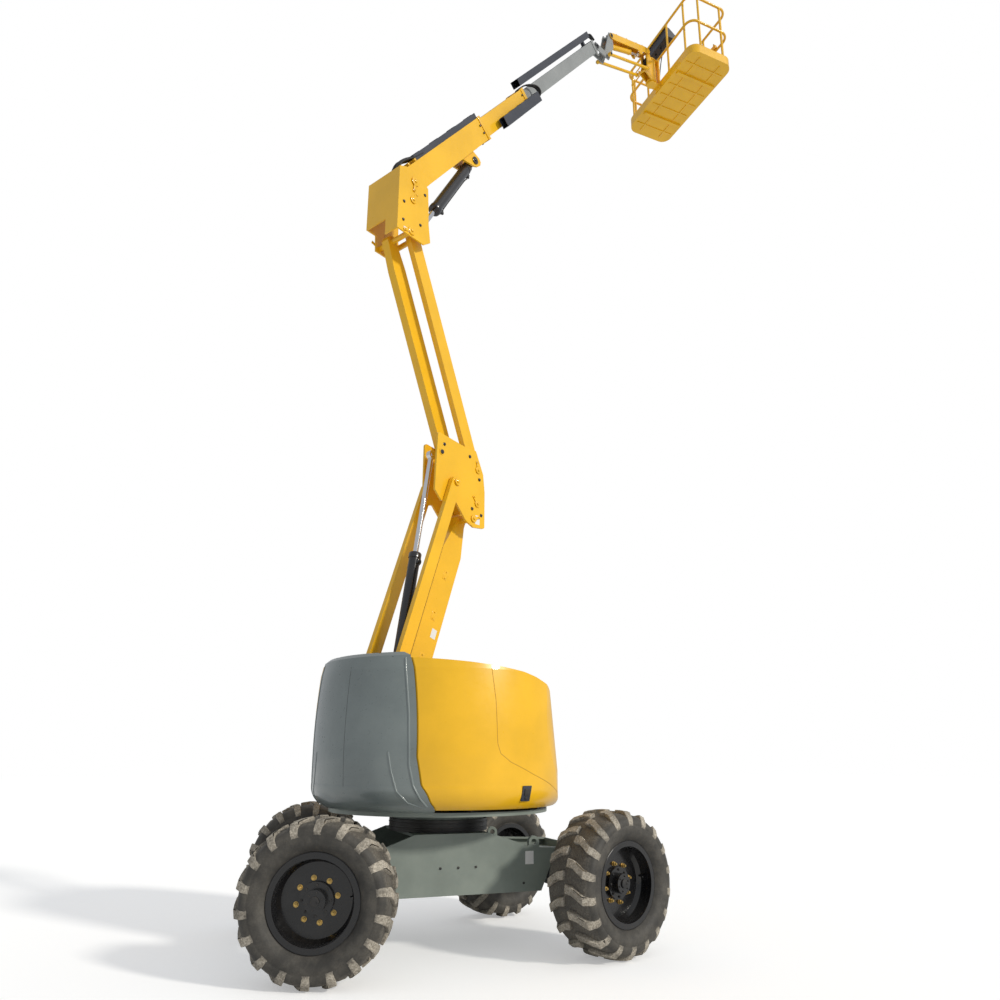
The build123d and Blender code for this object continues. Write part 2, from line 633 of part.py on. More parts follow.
# ---------------------------------------------------------------- arms
def tapered(length, depth, eye, taper):
    """Outline of a link with a deep middle and tapered ends."""
    d = depth / 2
    e = eye * 0.92
    return [
        (-eye * 0.4, -e), (taper * 0.12, -e), (taper, -d), (length - taper, -d), (length - taper * 0.12, -e),
        (length + eye * 0.4, -e), (length + e, -eye * 0.4), (length + e, eye * 0.4), (length + eye * 0.4, e),
        (length - taper * 0.12, e), (length - taper, d), (taper, d), (taper * 0.12, e), (-eye * 0.4, e),
        (-e, eye * 0.4), (-e, -eye * 0.4),
    ]


def lower_arm():
    """Lower arm: a hollow box, narrower on its right side over the lower end."""
    right, left = LOWER_SIDES
    body = plate(tapered(LOWER_LEN, LOWER_DEPTH, EYE_R, 330), right, left)
    body -= block(-200, LOWER_ROOT_LEN, right - 1, LOWER_ROOT_SIDE, -200, 200)
    d = LOWER_DEPTH / 2 - WALL
    body -= block(LOWER_ROOT_LEN + WALL, LOWER_LEN - 360, right + WALL, left - WALL, -d, d)
    body -= block(LOWER_ROOT_LEN + 200, LOWER_ROOT_LEN + 260, right + 30, left - 30, -d - 2 * WALL, -d + 1)
    body -= bore_y(0, 0) + bore_y(LOWER_LEN, 0)
    return link(body, LOWER_PIN, LOWER_ANGLE)


def lower_ties():
    """Two flat tie bars, one each side of the knuckle plates."""
    d = TIE_DEPTH / 2
    e = TIE_EYE_R
    bar = plate([(0, -e), (180, -d), (LOWER_LEN, -d), (LOWER_LEN, d), (180, d), (0, e)], TIE_IN, TIE_IN + TIE_T)
    bar += bar_y(0, 0, e, TIE_IN, TIE_IN + TIE_T) + bar_y(LOWER_LEN, 0, d, TIE_IN, TIE_IN + TIE_T)
    for x in (0, LOWER_LEN):
        bar -= bore_y(x, 0)
    return link(Compound(children=[bar, mirror(bar, about=Plane.XZ)]), TIE_PIN, LOWER_ANGLE)


def arm_knuckle():
    """Knuckle between lower and upper arm: two shaped plates joined by their pins and a front web."""
    x, z = LOWER_TOP
    outline = [
        (-505, 153), (-417, 67), (-255, 122), (-98, -40), (5, -80), (154, -62), (153, 292), (130, 460), (24, 668),
        (-92, 656), (-400, 690), (-482, 700),
    ]
    far_outline = [(-375, 81), *outline[2:-2], (-375, 688)]
    out = KNUCKLE_IN + KNUCKLE_T
    body = plate([(x + dx, z + dz) for dx, dz in outline], -out, -KNUCKLE_IN, radius=24)
    body += plate([(x + dx, z + dz) for dx, dz in far_outline], KNUCKLE_IN, out, radius=24)
    body += bar_y(*LOWER_TOP, PIN_R, -out - 5, out + 5)
    body += bar_y(*UPPER_PIN, PIN_R, -out - 3, out + 3)
    body += bar_y(*UPPER_TIE_PIN, PIN_R, -out - 3, UPPER_TIE_SIDES[1] + 6)
    for side in (1, -1):
        body += bar_y(*TIE_TOP, PIN_R, side * (out - 1), side * (TIE_IN + TIE_T + 8))
    return body + bar_y(*ARM_EYE, 30, -out - 4, 1 - out)


def upper_arm():
    """Upper arm, a hollow box that leans back."""
    right, left = UPPER_SIDES
    body = plate(tapered(UPPER_LEN, UPPER_DEPTH, EYE_R, 260), right, left)
    d = UPPER_DEPTH / 2 - WALL
    body -= block(300, UPPER_LEN - 300, right + WALL, left - WALL, -d, d)
    body -= block(330, 380, right + 20, left - 20, -d - 2 * WALL, -d + 1)
    body -= bore_y(0, 0) + bore_y(UPPER_LEN, 0)
    return link(body, UPPER_PIN, LEAN)


def upper_tie():
    """Upper tie, a hollow box parallel to the upper arm."""
    right, left = UPPER_TIE_SIDES
    body = plate(tapered(UPPER_LEN, UPPER_TIE_DEPTH, TIE_EYE_R, 160), right, left)
    d = UPPER_TIE_DEPTH / 2 - WALL
    body -= block(200, UPPER_LEN - 200, right + WALL, left - WALL, -d, d)
    body -= block(230, 270, right + 20, left - 20, -d - 2 * WALL, -d + 1)
    body -= bore_y(0, 0) + bore_y(UPPER_LEN, 0)
    return link(body, UPPER_TIE_PIN, LEAN)


def boom_head():
    """Boom head: two side plates, rear plate and pins."""
    x, z = HEAD_PIN
    front = [
        (x + 160, z - 55), (x + 238, z + 8), (x + 210, z + 190), (x + 204, z + 330), (x + 190, z + 560),
        (x + 110, z + 630), (x - 90, z + 630), (x - 172, z + 590),
    ]
    notch = z + 105
    head = plate([(x - 172, z - 55), *front], -HEAD_HALF, HEAD_T - HEAD_HALF)
    head += plate([(x - 172, notch), (x - 68, notch), (x - 60, z - 55), *front], HEAD_HALF - HEAD_T, HEAD_HALF)
    rear = block(x - 172, x - 160, -HEAD_HALF + 1, HEAD_HALF - 1, z - 55, z + 589)
    rear -= block(x - 180, x - 150, -50, HEAD_HALF + 1, z - 60, notch)
    head += rear
    inner = HEAD_HALF - HEAD_T
    head += bar_y(*HEAD_PIN, PIN_R, -HEAD_HALF - 3, HEAD_HALF + 3)
    head += bar_y(*BOOM_PIN, PIN_R, -HEAD_HALF - 6, HEAD_HALF + 6)
    head += bar_y(*UPPER_TIE_TOP, PIN_R, -HEAD_HALF - 3, UPPER_TIE_SIDES[1] + 6)
    head += bar_y(*BOOM_EYE, PIN_R, BOOM_EYE_HALF + 5, inner + 1)
    return head


def barrel(radius, rod_r, length, half, eye_r, y, tail, foot_r):
    """Cylinder barrel along +X with its eye at the origin; tail is how far the bore reaches back."""
    body = bar_x(y, 0, radius, eye_r * 1.7, length)
    body += bar_y(0, 0, eye_r, y - half, y + half)
    body += block(0, eye_r * 1.8, y - half, y + half, -eye_r * 0.7, eye_r * 0.7)
    body -= bar_x(y, 0, rod_r + RUN_GAP, length - tail, length + 5)
    return body - bore_y(0, 0, foot_r)


def rod(rod_r, length, total, half, eye_r, y, inside):
    """Piston rod along +X with its eye and the eye's own pin at x = total; inside is its length in the barrel."""
    body = bar_x(y, 0, rod_r, length - inside, total - eye_r * 0.6)
    body += bar_y(total, 0, eye_r, y - half, y + half)
    return body + bar_y(total, 0, eye_r * 0.55, y - half - 4, y + half + 4)


# ---------------------------------------------------------------- boom
def tube(x0, x1, height, width):
    """Rectangular hollow section along +X, open at both ends."""
    low = BOOM_RISE - height / 2
    high = BOOM_RISE + height / 2
    t = SECTION_WALL
    outer = block(x0, x1, -width / 2, width / 2, low, high)
    return outer - block(x0 - 5, x1 + 5, -width / 2 + t, width / 2 - t, low + t, high - t)


def wear_pads(x1, outer_h, outer_w, inner_h, inner_w):
    """Pads inside the front end of a section that guide the next one."""
    t = SECTION_WALL
    w = inner_w / 2 + SLIDE_GAP
    h = inner_h / 2 + SLIDE_GAP
    x0 = x1 - PAD_LEN
    pads = block(x0, x1, -w + 30, w - 30, BOOM_RISE + h, BOOM_RISE + outer_h / 2 - t + 1)
    pads += block(x0, x1, -w + 30, w - 30, BOOM_RISE - outer_h / 2 + t - 1, BOOM_RISE - h)
    for side in (1, -1):
        pads += block(x0, x1, side * w, side * (outer_w / 2 - t + 1), BOOM_RISE - h + 30, BOOM_RISE + h - 30)
    return pads


def boom_outer():
    """Outer boom section with its root lugs and the lift cylinder's lugs."""
    half = OUTER_W / 2
    low = BOOM_RISE - OUTER_H / 2
    high = BOOM_RISE + OUTER_H / 2
    body = tube(OUTER_START, OUTER_END, OUTER_H, OUTER_W)
    body += wear_pads(OUTER_END, OUTER_H, OUTER_W, MIDDLE_H, MIDDLE_W)
    root = [(-62, -30), (-30, -62), (60, low), (300, low), (300, high), (60, high), (-50, 50)]
    x, z = BOOM_LUG
    lug = [(x - 200, low + 1), (x - 60, z - 38), (x - 10, z - 62), (x + 50, z - 70), (x + 90, z - 48),
           (x + 98, z - 10), (x + 60, low + 1)]
    lug_in = BOOM_BARREL_R + 6
    for side in (1, -1):
        body += plate(root, side * (half - 1), side * (half + 12))
        body += plate(lug, side * lug_in, side * (lug_in + BOOM_LUG_T))
    body -= bore_y(0, 0)
    body += bar_y(x, z, PIN_R, -lug_in - BOOM_LUG_T - 5, lug_in + BOOM_LUG_T + 5)
    return link(body, BOOM_PIN, BOOM_ANGLE)


def channel(x0, x1, y0, y1, z0, z1, wall):
    """Covered tray along +X, open at both ends."""
    body = block(x0, x1, y0, y1, z0, z1)
    return body - block(x0 - 5, x1 + 5, y0 + wall, y1 - wall, z0 + wall, z1 - wall)


def hose_cover():
    """Covered hose tray along the top of the outer section, near its right side."""
    high = BOOM_RISE + OUTER_H / 2
    return link(channel(350, OUTER_END - 30, -108, -12, high, high + TRAY_H, TRAY_WALL), BOOM_PIN, BOOM_ANGLE)


def boom_middle():
    """Middle boom section."""
    body = tube(MIDDLE_START, MIDDLE_END, MIDDLE_H, MIDDLE_W)
    body += wear_pads(MIDDLE_END, MIDDLE_H, MIDDLE_W, INNER_H, INNER_W)
    collar = block(MIDDLE_END - 60, MIDDLE_END, -MIDDLE_W / 2 - 8, MIDDLE_W / 2 + 8, BOOM_RISE - MIDDLE_H / 2 - 8,
                   BOOM_RISE + MIDDLE_H / 2 + 8)
    collar -= block(MIDDLE_END - 70, MIDDLE_END + 10, -MIDDLE_W / 2 + 1, MIDDLE_W / 2 - 1,
                    BOOM_RISE - MIDDLE_H / 2 + 1, BOOM_RISE + MIDDLE_H / 2 - 1)
    body += collar
    return link(body, BOOM_PIN, BOOM_ANGLE)


def side_tray():
    """Energy chain tray on the right side of the middle section, with its bracket."""
    face = -MIDDLE_W / 2
    body = channel(2110, MIDDLE_END + 125, -205, -135, BOOM_RISE - 130, BOOM_RISE - 20, TRAY_WALL)
    body += block(MIDDLE_END - 58, MIDDLE_END - 18, -136, face - 8, BOOM_RISE - 90, BOOM_RISE - 60)
    return link(body, BOOM_PIN, BOOM_ANGLE)


def boom_inner():
    """Inner boom section with the nose lug."""
    body = tube(INNER_START, INNER_END, INNER_H, INNER_W)
    half = INNER_H / 2
    body += block(INNER_END - 30, INNER_END, -INNER_W / 2, INNER_W / 2, BOOM_RISE - half, BOOM_RISE + half)
    nose = [(INNER_END - 20, BOOM_RISE - 70), (NOSE_PIN, -48), (NOSE_PIN + 40, -10), (NOSE_PIN + 30, 40),
            (INNER_END - 20, BOOM_RISE + 74)]
    body += plate(nose, -30, 30)
    body -= bore_y(NOSE_PIN, 0)
    return link(body, BOOM_PIN, BOOM_ANGLE)


def top_tray():
    """Chain tray above the inner section, near its left side, held at its outer end."""
    low = BOOM_RISE + OUTER_H / 2 + 12
    body = channel(3260, INNER_END + 190, 8, 112, low, low + TOP_TRAY_H, TRAY_WALL)
    body += block(INNER_END - 60, INNER_END - 10, 30, 70, BOOM_RISE + INNER_H / 2, low + 1)
    return link(body, BOOM_PIN, BOOM_ANGLE)


# ---------------------------------------------------------------- jib
def nose_bracket():
    """Levelled bracket at the boom's nose that carries the jib."""
    nx, nz = NOSE
    jx, jz = JIB_ROOT
    tx, tz = JIB_TIE_ROOT
    outline = [(nx - 45, nz - 30), (nx + 20, nz - 50), (tx + 45, tz - 35), (jx + 70, jz - 165), (jx + 70, jz - 95),
               (jx + 45, jz + 10), (jx + 20, jz + 45), (jx - 40, jz + 40), (tx - 60, tz + 40), (nx - 45, nz + 40)]
    out = JIB_BRACKET[1]
    tie_pin = JIB_TIE_Y + JIB_TIE_R + 3
    body = both(plate(outline, *JIB_BRACKET))
    body += bar_y(*NOSE, PIN_R, -out - 5, out + 5)
    body += bar_y(*JIB_ROOT, PIN_R, -JIB_HALF - 4, JIB_HALF + 4)
    body += bar_y(*JIB_TIE_ROOT, PIN_R * 0.6, -tie_pin, tie_pin)
    body += bar_y(*JIB_FOOT, PIN_R * 0.8, -out - 1, out + 1)
    return body


def jib_arm():
    """Upper jib member: an inverted channel."""
    d = JIB_DEPTH / 2
    side_plate = plate([(0, -40), (110, -d), (JIB_LEN - 110, -d), (JIB_LEN, -40), (JIB_LEN + 34, -20),
                        (JIB_LEN + 34, 20), (JIB_LEN, 40), (JIB_LEN - 110, d), (110, d), (0, 40), (-34, 20),
                        (-34, -20)], JIB_HALF - 10, JIB_HALF)
    eye_x, eye_z = JIB_CYL_REACH
    lug = [(eye_x - 90, 1 - d), (eye_x - 30, eye_z - 32), (eye_x + 30, eye_z - 32), (eye_x + 90, 1 - d)]
    body = both(side_plate + plate(lug, JIB_HALF - 10, JIB_HALF))
    body += block(110, JIB_LEN - 110, -JIB_HALF + 1, JIB_HALF - 1, d - 8, d)
    body += both(bar_y(*JIB_CYL_REACH, PIN_R * 0.8, 34, JIB_HALF - 1))
    body -= bore_y(0, 0) + bore_y(JIB_LEN, 0)
    return link(body, JIB_ROOT, JIB_ANGLE)


def jib_ties():
    """Two lower jib tubes."""
    y = JIB_TIE_Y
    r = JIB_TIE_R
    bar = bar_x(y, 0, r, 0, JIB_LEN)
    for x in (0, JIB_LEN):
        bar += bar_y(x, 0, 28, y - r, y + r)
    for x in (0, JIB_LEN):
        bar -= bore_y(x, 0, PIN_R * 0.6)
    return link(Compound(children=[bar, mirror(bar, about=Plane.XZ)]), JIB_TIE_ROOT, JIB_ANGLE)


def jib_bracket():
    """Bracket at the jib's outer end with the housing of the basket's turning drive."""
    ux, uz = JIB_TIP
    lx, lz = JIB_TIE_TIP
    ax = BASKET_AXIS[0]
    outline = [(lx - 30, lz - 20), (ax, lz - 20), (ax, uz - 40), (ax - 88, uz - 40), (ux + 38, uz + 15),
               (ux + 20, uz + 38), (ux - 28, uz + 35), (ux - 38, uz - 30), (ux - 45, uz - 300), (lx + 30, lz + 50),
               (lx - 30, lz + 25)]
    tie_pin = JIB_TIE_Y + JIB_TIE_R + 3
    body = both(plate(outline, *JIB_BRACKET))
    body += bar_y(*JIB_TIP, PIN_R, -JIB_HALF - 4, JIB_HALF + 4)
    body += bar_y(*JIB_TIE_TIP, PIN_R * 0.6, -tie_pin, tie_pin)
    body += bar_z(ax, 0, ROTATOR_R, lz - 20, uz - 40)
    return body


# ---------------------------------------------------------------- basket
def basket_place(shape):
    """Place a shape built about the basket's turning axis, its X pointing away from the jib."""
    return Pos(BASKET_AXIS[0], 0, BASKET_AXIS[1]) * Rot(0, 0, BASKET_TURN) * shape


def basket_mount():
    """Turning post: plates above and below the drive, joined by an upright against the basket."""
    low = JIB_TIE_TIP[1] - 20 - JIB_TIP[1]
    x = BASKET_FROM_AXIS
    body = bar_z(0, 0, ROTATOR_R - 8, low - 24, low - PART_GAP) + bar_z(0, 0, ROTATOR_R - 8, -40 + PART_GAP, -16)
    body += block(0, x, -60, 60, low - 24, low - 4) + block(0, x, -60, 60, -36, -16)
    body += block(x - 18, x, -70, 70, BASKET_FLOOR, 30)
    return basket_place(body)


def post_places():
    """Rows of (x, y) of the basket's posts."""
    x0 = BASKET_FROM_AXIS + RAIL_R
    x1 = BASKET_FROM_AXIS + BASKET_WID - RAIL_R
    y = BASKET_LEN / 2 - RAIL_R
    rows = []
    for side in (1, -1):
        for x in (x0, x1):
            rows += [(x, side * (y - POST_IN)), (x, side * POST_MID)]
        rows += [(x0 + POST_IN, side * y), (x1 - POST_IN, side * y)]
    return rows


def basket_rails():
    """Guard rails as one welded form, parted by mitred prisms into four frames: a dict by side."""
    x0 = BASKET_FROM_AXIS + RAIL_R
    x1 = BASKET_FROM_AXIS + BASKET_WID - RAIL_R
    y = BASKET_LEN / 2 - RAIL_R
    floor = BASKET_FLOOR
    form = None
    for level in (RAIL_MID * RAIL_H, RAIL_H - RAIL_R):
        z = floor + level
        path = FilletPolyline((x0, -y, z), (x1, -y, z), (x1, y, z), (x0, y, z), radius=140, close=True)
        ring = sweep(Plane(origin=path @ 0, z_dir=path % 0) * Circle(RAIL_R), path=path)
        form = ring if form is None else form + ring
    for px, py in post_places():
        form += bar_z(px, py, RAIL_R * 0.9, floor + 6, floor + RAIL_H - RAIL_R)
    out = 60
    low = floor
    high = floor + RAIL_H + 10
    frames = {}
    for name, side in (("left", 1), ("right", -1)):
        end = slab([(x0 - out, side * (y + out)), (x1 + out, side * (y + out)), (x1 - MITRE, side * (y - MITRE)),
                    (x0 + MITRE, side * (y - MITRE))], low, high)
        frames[name] = basket_place(form & end)
    for name, x, away in (("inner", x0, -1), ("outer", x1, 1)):
        face = slab([(x + away * out, -y - out), (x + away * out, y + out), (x - away * MITRE, y - MITRE),
                     (x - away * MITRE, MITRE - y)], low, high)
        frames[name] = basket_place(form & face)
    return frames


def basket_floor():
    """Floor tray with toe boards, ribs below it and two slots in the toe board of its left end."""
    x0 = BASKET_FROM_AXIS
    x1 = BASKET_FROM_AXIS + BASKET_WID
    y = BASKET_LEN / 2
    floor = BASKET_FLOOR
    t = TOE_T
    low = floor - FLOOR_T
    tray = slab([(x0, -y), (x1, -y), (x1, y), (x0, y)], low, floor + TOE_H, radius=FLOOR_CORNER_R)
    hollow = slab([(x0 + t, -y + t), (x1 - t, -y + t), (x1 - t, y - t), (x0 + t, y - t)], floor, floor + TOE_H + 1,
                  radius=FLOOR_CORNER_R - t)
    body = tray - hollow
    for rib_y in (-y / 2, y / 2):
        body += block(x0 + 40, x1 - 40, rib_y - 25, rib_y + 25, low - 30, low)
    middle = (x0 + x1) / 2
    for side in (1, -1):
        body -= block(middle + side * 40, middle + side * 190, y - 2 * t, y + 1, floor + 40, floor + 90)
    for px, py in post_places():
        body -= bar_z(px, py, RAIL_R * 0.9, floor + 6, floor + TOE_H + 5)
    return basket_place(body)


def control_box():
    """Control console inside the basket's inner rail, with a sloping panel."""
    x0 = BASKET_FROM_AXIS
    z = BASKET_FLOOR + RAIL_H
    outline = [(x0 + 2 * RAIL_R, z - 200), (x0 + 190, z - 200), (x0 + 240, z - 130), (x0 + 105, z - RAIL_R),
               (x0 + 2 * RAIL_R, z - RAIL_R)]
    return basket_place(plate(outline, -240, 240))


# ---------------------------------------------------------------- build and write
def build_all():
    """Every node by name."""
    nodes = {
        "chassis_frame": chassis_frame(),
        "slew_ring": slew_ring(),
        "axle_front": axle(1),
        "axle_rear": axle(-1),
        "steering_cylinders": Compound(children=[steering_cylinder(1), steering_cylinder(-1)]),
        "tie_rod_front": tie_rod(1),
        "tie_rod_rear": tie_rod(-1),
    }
    one_tyre = tyre()
    for name, end, side, steer in wheel_places():
        nodes[f"knuckle_{name}"] = at_kingpin(knuckle(end, side), end, side, steer)
        face = Rot(0, 0, 180) if side > 0 else Rot(0, 0, 0)
        out = Pos(0, side * KINGPIN_OFFSET, 0)
        nodes[f"tyre_{name}"] = at_kingpin(out * face * one_tyre, end, side, steer)
        nodes[f"rim_{name}"] = at_kingpin(out * face * rim(), end, side, steer)
    right_hood = hood_right()
    # name, foot (barrel end), eye (rod end), barrel radius, rod radius, barrel length, eye half width, eye radius, Y,
    # bore radius of the foot, how far the rod goes in from the pose at rest
    cylinders = [
        ("arm_cylinder", ARM_FOOT, ARM_EYE, ARM_BARREL_R, ARM_ROD_R, ARM_BARREL_LEN, ARM_EYE_HALF, 42, ARM_CYL_Y,
         PIN_R, ARM_STROKE_IN),
        ("boom_cylinder", BOOM_FOOT, BOOM_EYE, BOOM_BARREL_R, BOOM_ROD_R, BOOM_BARREL_LEN, BOOM_EYE_HALF, 40, 0,
         PIN_R, BOOM_STROKE_IN),
        ("jib_cylinder", JIB_FOOT, JIB_EYE, JIB_BARREL_R, JIB_ROD_R, JIB_BARREL_LEN, 28, 32, 0,
         PIN_R * 0.8, JIB_STROKE_IN),
    ]
    turret_nodes = {
        "turntable": turntable(),
        "counterweight": counterweight(),
        "engine": engine(),
        "tanks": tanks(),
        "hood_right": right_hood,
        "hood_left": mirror(right_hood, about=Plane.XZ),
        "lower_arm": lower_arm(),
        "lower_ties": lower_ties(),
        "arm_knuckle": arm_knuckle(),
        "upper_arm": upper_arm(),
        "upper_tie": upper_tie(),
        "boom_head": boom_head(),
        "boom_outer": boom_outer(),
        "hose_cover": hose_cover(),
        "boom_middle": boom_middle(),
        "side_tray": side_tray(),
        "boom_inner": boom_inner(),
        "top_tray": top_tray(),
        "nose_bracket": nose_bracket(),
        "jib_arm": jib_arm(),
        "jib_ties": jib_ties(),
        "jib_bracket": jib_bracket(),
        "basket_mount": basket_mount(),
        **{f"basket_rails_{side}": frame for side, frame in basket_rails().items()},
        "basket_floor": basket_floor(),
        "control_box": control_box(),
    }
    for name, foot, eye, radius, rod_r, length, half, eye_r, y, foot_r, stroke_in in cylinders:
        angle, total = aim(foot, eye)
        tail = length - BARREL_SOLID
        outer = barrel(radius, rod_r, length, half, eye_r, y, tail, foot_r)
        inside = tail - stroke_in - ROD_SPARE
        turret_nodes[f"{name}_barrel"] = link(outer, foot, angle)
        turret_nodes[f"{name}_rod"] = link(rod(rod_r, length, total, half, eye_r, y, inside), foot, angle)
    for name, shape in turret_nodes.items():
        nodes[name] = Rot(0, 0, SLEW) * shape
    return nodes


def main():
    """Write one STEP file per node."""
    os.makedirs("parts", exist_ok=True)
    for name, shape in build_all().items():
        export_step(shape, f"parts/{name}.step")


main()
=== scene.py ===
"""Looks of the articulating boom lift: camera, light, finishes and the fine pieces on the CAD bodies."""
import json
import logging
import math
from dataclasses import dataclass
from enum import Enum
from typing import Iterable, Sequence

import bmesh
import bpy
from mathutils import Matrix, Vector


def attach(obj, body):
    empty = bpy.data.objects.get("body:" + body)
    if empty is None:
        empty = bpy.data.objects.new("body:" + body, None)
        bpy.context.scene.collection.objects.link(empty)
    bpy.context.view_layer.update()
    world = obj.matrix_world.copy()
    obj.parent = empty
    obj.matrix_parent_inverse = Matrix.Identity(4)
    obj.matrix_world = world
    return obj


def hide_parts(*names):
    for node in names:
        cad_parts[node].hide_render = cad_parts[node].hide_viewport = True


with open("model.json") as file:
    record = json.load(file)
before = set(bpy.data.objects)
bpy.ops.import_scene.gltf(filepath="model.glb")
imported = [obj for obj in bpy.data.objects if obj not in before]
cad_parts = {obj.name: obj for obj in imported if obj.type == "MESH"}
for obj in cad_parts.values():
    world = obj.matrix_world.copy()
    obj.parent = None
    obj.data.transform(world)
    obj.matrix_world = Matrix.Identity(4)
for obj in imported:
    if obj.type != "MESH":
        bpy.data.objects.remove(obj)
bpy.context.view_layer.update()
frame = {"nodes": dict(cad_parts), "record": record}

LOG = logging.getLogger("boom_lift")
Spot = tuple[float, float]
Point = tuple[float, float, float]
Colour = tuple[float, float, float]

LEFT, RIGHT = 1, -1

# the turret's turn on the chassis, and the camera; metres and radians
SLEW = math.radians(29.0)
CAMERA_AT = (-2.0007, -6.4957, 1.388)
CAMERA_HEADING = math.radians(21.27)
CAMERA_PITCH = math.radians(15.5)
CAMERA_ROLL = math.radians(0.24)
CAMERA_LENS = 28.39
CAMERA_SHIFT = 0.04


class Slot(Enum):
    """Material slots of the record."""

    YELLOW = "yellow_paint"
    GREY = "grey_paint"
    CHASSIS = "chassis_grey"
    BOOM_GREY = "boom_grey"
    AXLE = "axle_black"
    RIM = "rim_black"
    BARREL = "barrel_black"
    CHROME = "chrome_rod"
    PLASTIC = "black_plastic"
    ENGINE = "engine_metal"
    TYRE = "tyre"


@dataclass(frozen=True)
class Finish:
    """How one surface looks.

    Args:
        colour: linear base colour.
        roughness: mean roughness.
        metallic: 0 for paint and plastic, 1 for bare metal.
        coat: clear coat weight.
        dust: how much dust lies on faces that point up, 0 to 1.
        dust_colour: linear colour of that dust.
        grain: size of the surface's grain, 1/m.
        bump: depth of the grain in metres.
        wear: colour change from patch to patch, 0 to 1.
    """

    colour: Colour
    roughness: float = 0.4
    metallic: float = 0.0
    coat: float = 0.0
    dust: float = 0.1
    dust_colour: Colour = (0.42, 0.36, 0.27)
    grain: float = 300.0
    bump: float = 0.0001
    wear: float = 0.12


FINISHES: dict[Slot, Finish] = {
    Slot.YELLOW: Finish((0.90, 0.50, 0.008), 0.32, coat=0.35, dust=0.02, grain=220, bump=0.00006, wear=0.07),
    Slot.GREY: Finish((0.190, 0.224, 0.222), 0.30, coat=0.6, grain=200, dust=0.12, bump=0.00008),
    Slot.CHASSIS: Finish((0.225, 0.262, 0.232), 0.46, coat=0.1, dust=0.15, grain=260, wear=0.14),
    Slot.BOOM_GREY: Finish((0.27, 0.285, 0.285), 0.42, coat=0.2, dust=0.05, grain=260, bump=0.00008),
    Slot.AXLE: Finish((0.018, 0.018, 0.019), 0.45, dust=0.35, grain=160, bump=0.0003, wear=0.3),
    Slot.RIM: Finish((0.007, 0.007, 0.008), 0.24, coat=0.3, dust=0.03, grain=240, wear=0.2),
    Slot.BARREL: Finish((0.014, 0.014, 0.018), 0.28, coat=0.5, dust=0.05, grain=240, bump=0.00006, wear=0.15),
    Slot.CHROME: Finish((0.80, 0.81, 0.84), 0.10, metallic=1.0, dust=0.02, grain=600, bump=0.00002,
                        wear=0.05),
    Slot.PLASTIC: Finish((0.028, 0.034, 0.052), 0.45, dust=0.12, grain=500, bump=0.0002, wear=0.15),
    Slot.ENGINE: Finish((0.030, 0.030, 0.032), 0.60, metallic=0.3, dust=0.3, grain=120, bump=0.0006,
                        wear=0.3),
    Slot.TYRE: Finish((0.024, 0.023, 0.021), 0.82, dust=0.5, dust_colour=(0.33, 0.27, 0.19), grain=180,
                      bump=0.0006, wear=0.3),
}
GOLD = Finish((0.62, 0.42, 0.14), 0.30, metallic=1.0, grain=500, bump=0.00003, wear=0.2)
HOSE = Finish((0.012, 0.012, 0.013), 0.48, dust=0.12, grain=700, bump=0.0002, wear=0.15)
WHITE = Finish((0.80, 0.80, 0.78), 0.40, dust=0.05, grain=400, bump=0.00002, wear=0.04)
RED = Finish((0.55, 0.02, 0.015), 0.30, coat=0.4, dust=0.05, grain=300, bump=0.00003, wear=0.08)
# darker yellow for the hood creases: painted shade in their grooves
YELLOW_PAINTED_SHADE = Finish((0.60, 0.31, 0.010), 0.40, coat=0.3, dust=0.03, grain=220, bump=0.00004, wear=0.06)
# darker grey for the counterweight seam: painted shade in its groove
GREY_PAINTED_SHADE = Finish((0.055, 0.062, 0.062), 0.40, coat=0.3, grain=220, bump=0.00004, wear=0.06)
CLAY = ((0.40, 0.35, 0.28), (0.60, 0.55, 0.46))   # dried mud on the tread, dark and pale
COAT_ROUGHNESS = 0.08
# noises: grains per metre, finer layers and how much these count
PATCHES = (2.3, 5.0, 0.6)
SPECKS = (38.0, 4.0, 0.65)
MUD_PATCHES = (7.0, 6.0, 0.65)
MUD_SPECKS = (90.0, 4.0, 0.7)


